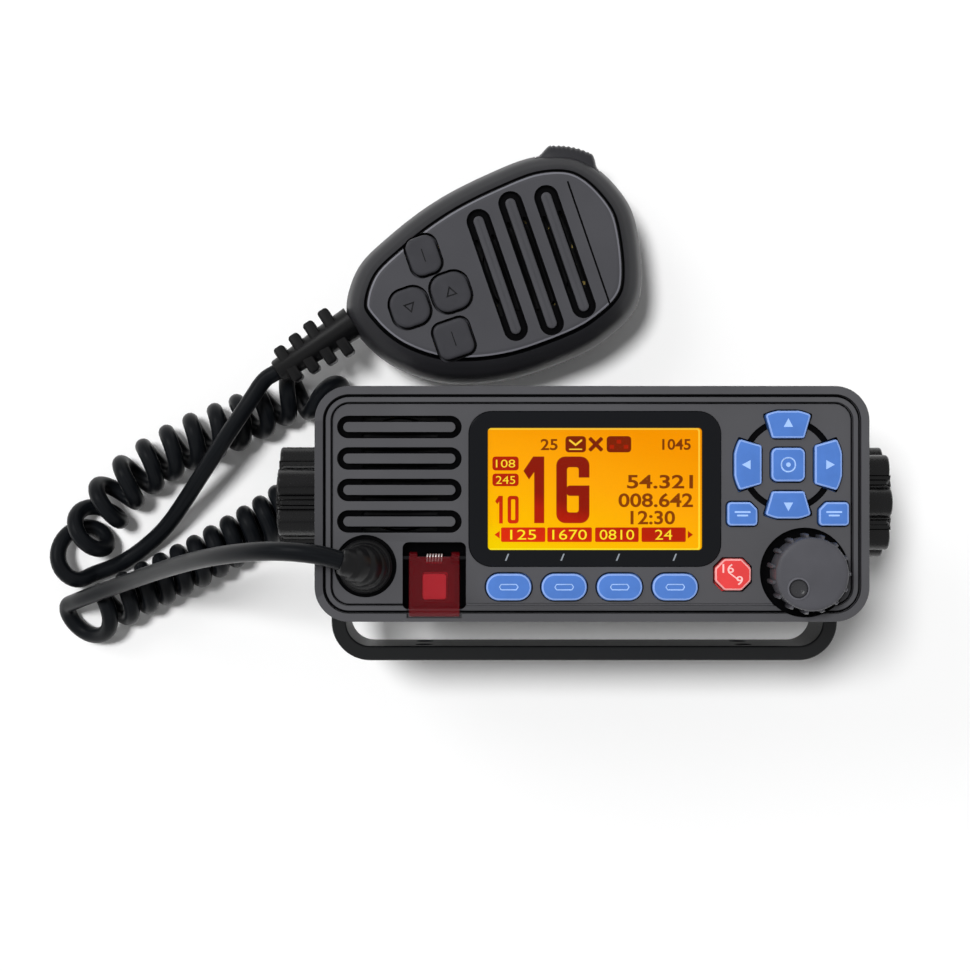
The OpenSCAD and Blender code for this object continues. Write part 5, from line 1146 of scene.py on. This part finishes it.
lip = loft("ptt_lip", MIC, [(21.2, 5.0), (31.8, 5.0)], [mic_back_abs])
for half, past in ((button, 0), (lip, 1.0)):
    carve(half, loft("ptt_room", MIC, [(20, 6.2), (33, 6.2)], [mic_back_abs]))
    carve(half, ptt_region(past, 21, 32), "INTERSECT")
button = joined("ptt_button_moulded", [button, lip])
button.data.transform(MIC_PLACE)
place(button, "ptt_button", "mic_keys", "ptt_button")

# Strain relief: tapered core and four tab plates
RELIEF_FROM = np.array([-74.5, 59.2, 24.5])
relief_way = Vector(RELIEF_TIP - RELIEF_FROM)
relief_l = relief_way.length
relief_turn = Matrix.Rotation(math.atan2(relief_way.y, relief_way.x), 4, "Z")
RELIEF_PLACE = shift(*RELIEF_FROM) @ relief_turn
relief = [turned("relief_core", [
    (0, 0), (5.6, 0), (3.9, relief_l - 0.8), (3.6, relief_l - 0.2), (3.2, relief_l), (0, relief_l)],
    48, [gland_rubber], place=RELIEF_PLACE @ Matrix.Rotation(math.pi / 2, 4, "Y"))]
step = (relief_l - 5) / 4
for i in range(4):
    w, h, x = 17.5 - 1.5 * i, 8.8 - 0.4 * i, 4.5 + i * step
    relief.append(loft("tab", box_outline(step * 0.62, w, 1.2, 5), [
        (-h / 2, 0.5), (-h / 2 + 0.15, 0.2), (-h / 2 + 0.5, 0), (h / 2 - 0.5, 0), (h / 2 - 0.15, 0.2),
        (h / 2, 0.5)], [gland_rubber], at=(x + step * 0.31, 0), place=RELIEF_PLACE))
place(joined("strain_relief_moulded", relief), "radio", "cord_rubber", "mic_strain_relief")
soften("mic_hanger_button", [steel], "radio", "steel", 0.3, 3)
MIC_SCREW_SEAT = 9.4
low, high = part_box("mic_screws")
screws("mic_screws", [(u, v, MIC_SCREW_SEAT) for u, v in MIC_SCREWS],
       screw_item("mic_screw", 2.6, 1.2, 1.2, min(16.0, high.z / MM - MIC_SCREW_SEAT)), MIC_PLACE)


floor_mesh = bpy.data.meshes.new("floor")
FLOOR_HALF, FLOOR_Z = 3.0, -0.00005
corners = [(FLOOR_HALF * x, FLOOR_HALF * y, FLOOR_Z) for x, y in ((-1, -1), (1, -1), (1, 1), (-1, 1))]
floor_mesh.from_pydata(corners, [], [(0, 1, 2, 3)])
floor = put("floor", floor_mesh)
# White paper that stays white to the camera and keeps the shadow
paper, tree, bsdf = material("white_paper")
ray = add(tree, "ShaderNodeLightPath").outputs
seen = add(tree, "ShaderNodeMath", {"operation": "MAXIMUM"}, links={
    0: ray["Is Camera Ray"], 1: ray["Is Glossy Ray"]})
seen = add(tree, "ShaderNodeMath", {"operation": "MAXIMUM"}, links={0: seen, 1: ray["Is Transmission Ray"]})
lift = add(tree, "ShaderNodeMath", {"operation": "MULTIPLY"}, {1: 0.05}, {0: seen})
# It throws little light back up at the dark undersides
tone = add(tree, "ShaderNodeMix", {"data_type": "RGBA"}, {6: lin("#A0A0A0"), 7: lin("#F2F2F2")}, {0: seen})
feed(tree, bsdf, {"Roughness": 1.0, "Specular IOR Level": 0.0, "Emission Color": WHITE},
     {"Base Color": tone.outputs[2], "Emission Strength": lift})
floor_mesh.materials.append(paper)

world = bpy.data.worlds.new("studio")
bpy.context.scene.world = world
world.use_nodes = True
tree = world.node_tree
# White to the camera and through clear parts, a softer white in reflections, softer still as light
ray = add(tree, "ShaderNodeLightPath").outputs
seen = add(tree, "ShaderNodeMath", {"operation": "MAXIMUM"}, links={
    0: ray["Is Camera Ray"], 1: ray["Is Transmission Ray"]})
plain = add(tree, "ShaderNodeMapRange", values={"To Min": 0.2, "To Max": 0.5},
            links={"Value": ray["Is Glossy Ray"]})
level = add(tree, "ShaderNodeMapRange", values={"To Max": 1.0}, links={"Value": seen, "To Min": plain})
feed(tree, tree.nodes["Background"], {"Color": WHITE}, {"Strength": level})


def sunlight(name, energy, spread, way, shines):
    """Far lamp; way is where its light goes, and shines says whether glossy things mirror it."""
    sun = bpy.data.lights.new(name, "SUN")
    sun.energy, sun.angle = energy, math.radians(spread)
    lamp = put(name, sun)
    lamp.rotation_euler = Vector(way).to_track_quat("-Z", "Y").to_euler()
    lamp.visible_glossy = shines


# Level light from above with a short shadow, and a weak low one from the upper left for the highlights
sunlight("overhead", 2.75, 13, (0.24, -0.17, -1.0), False)
sunlight("low_left", 0.4, 22, (0.75, -0.65, -1.0), True)
bpy.context.scene.view_settings.view_transform = "Standard"
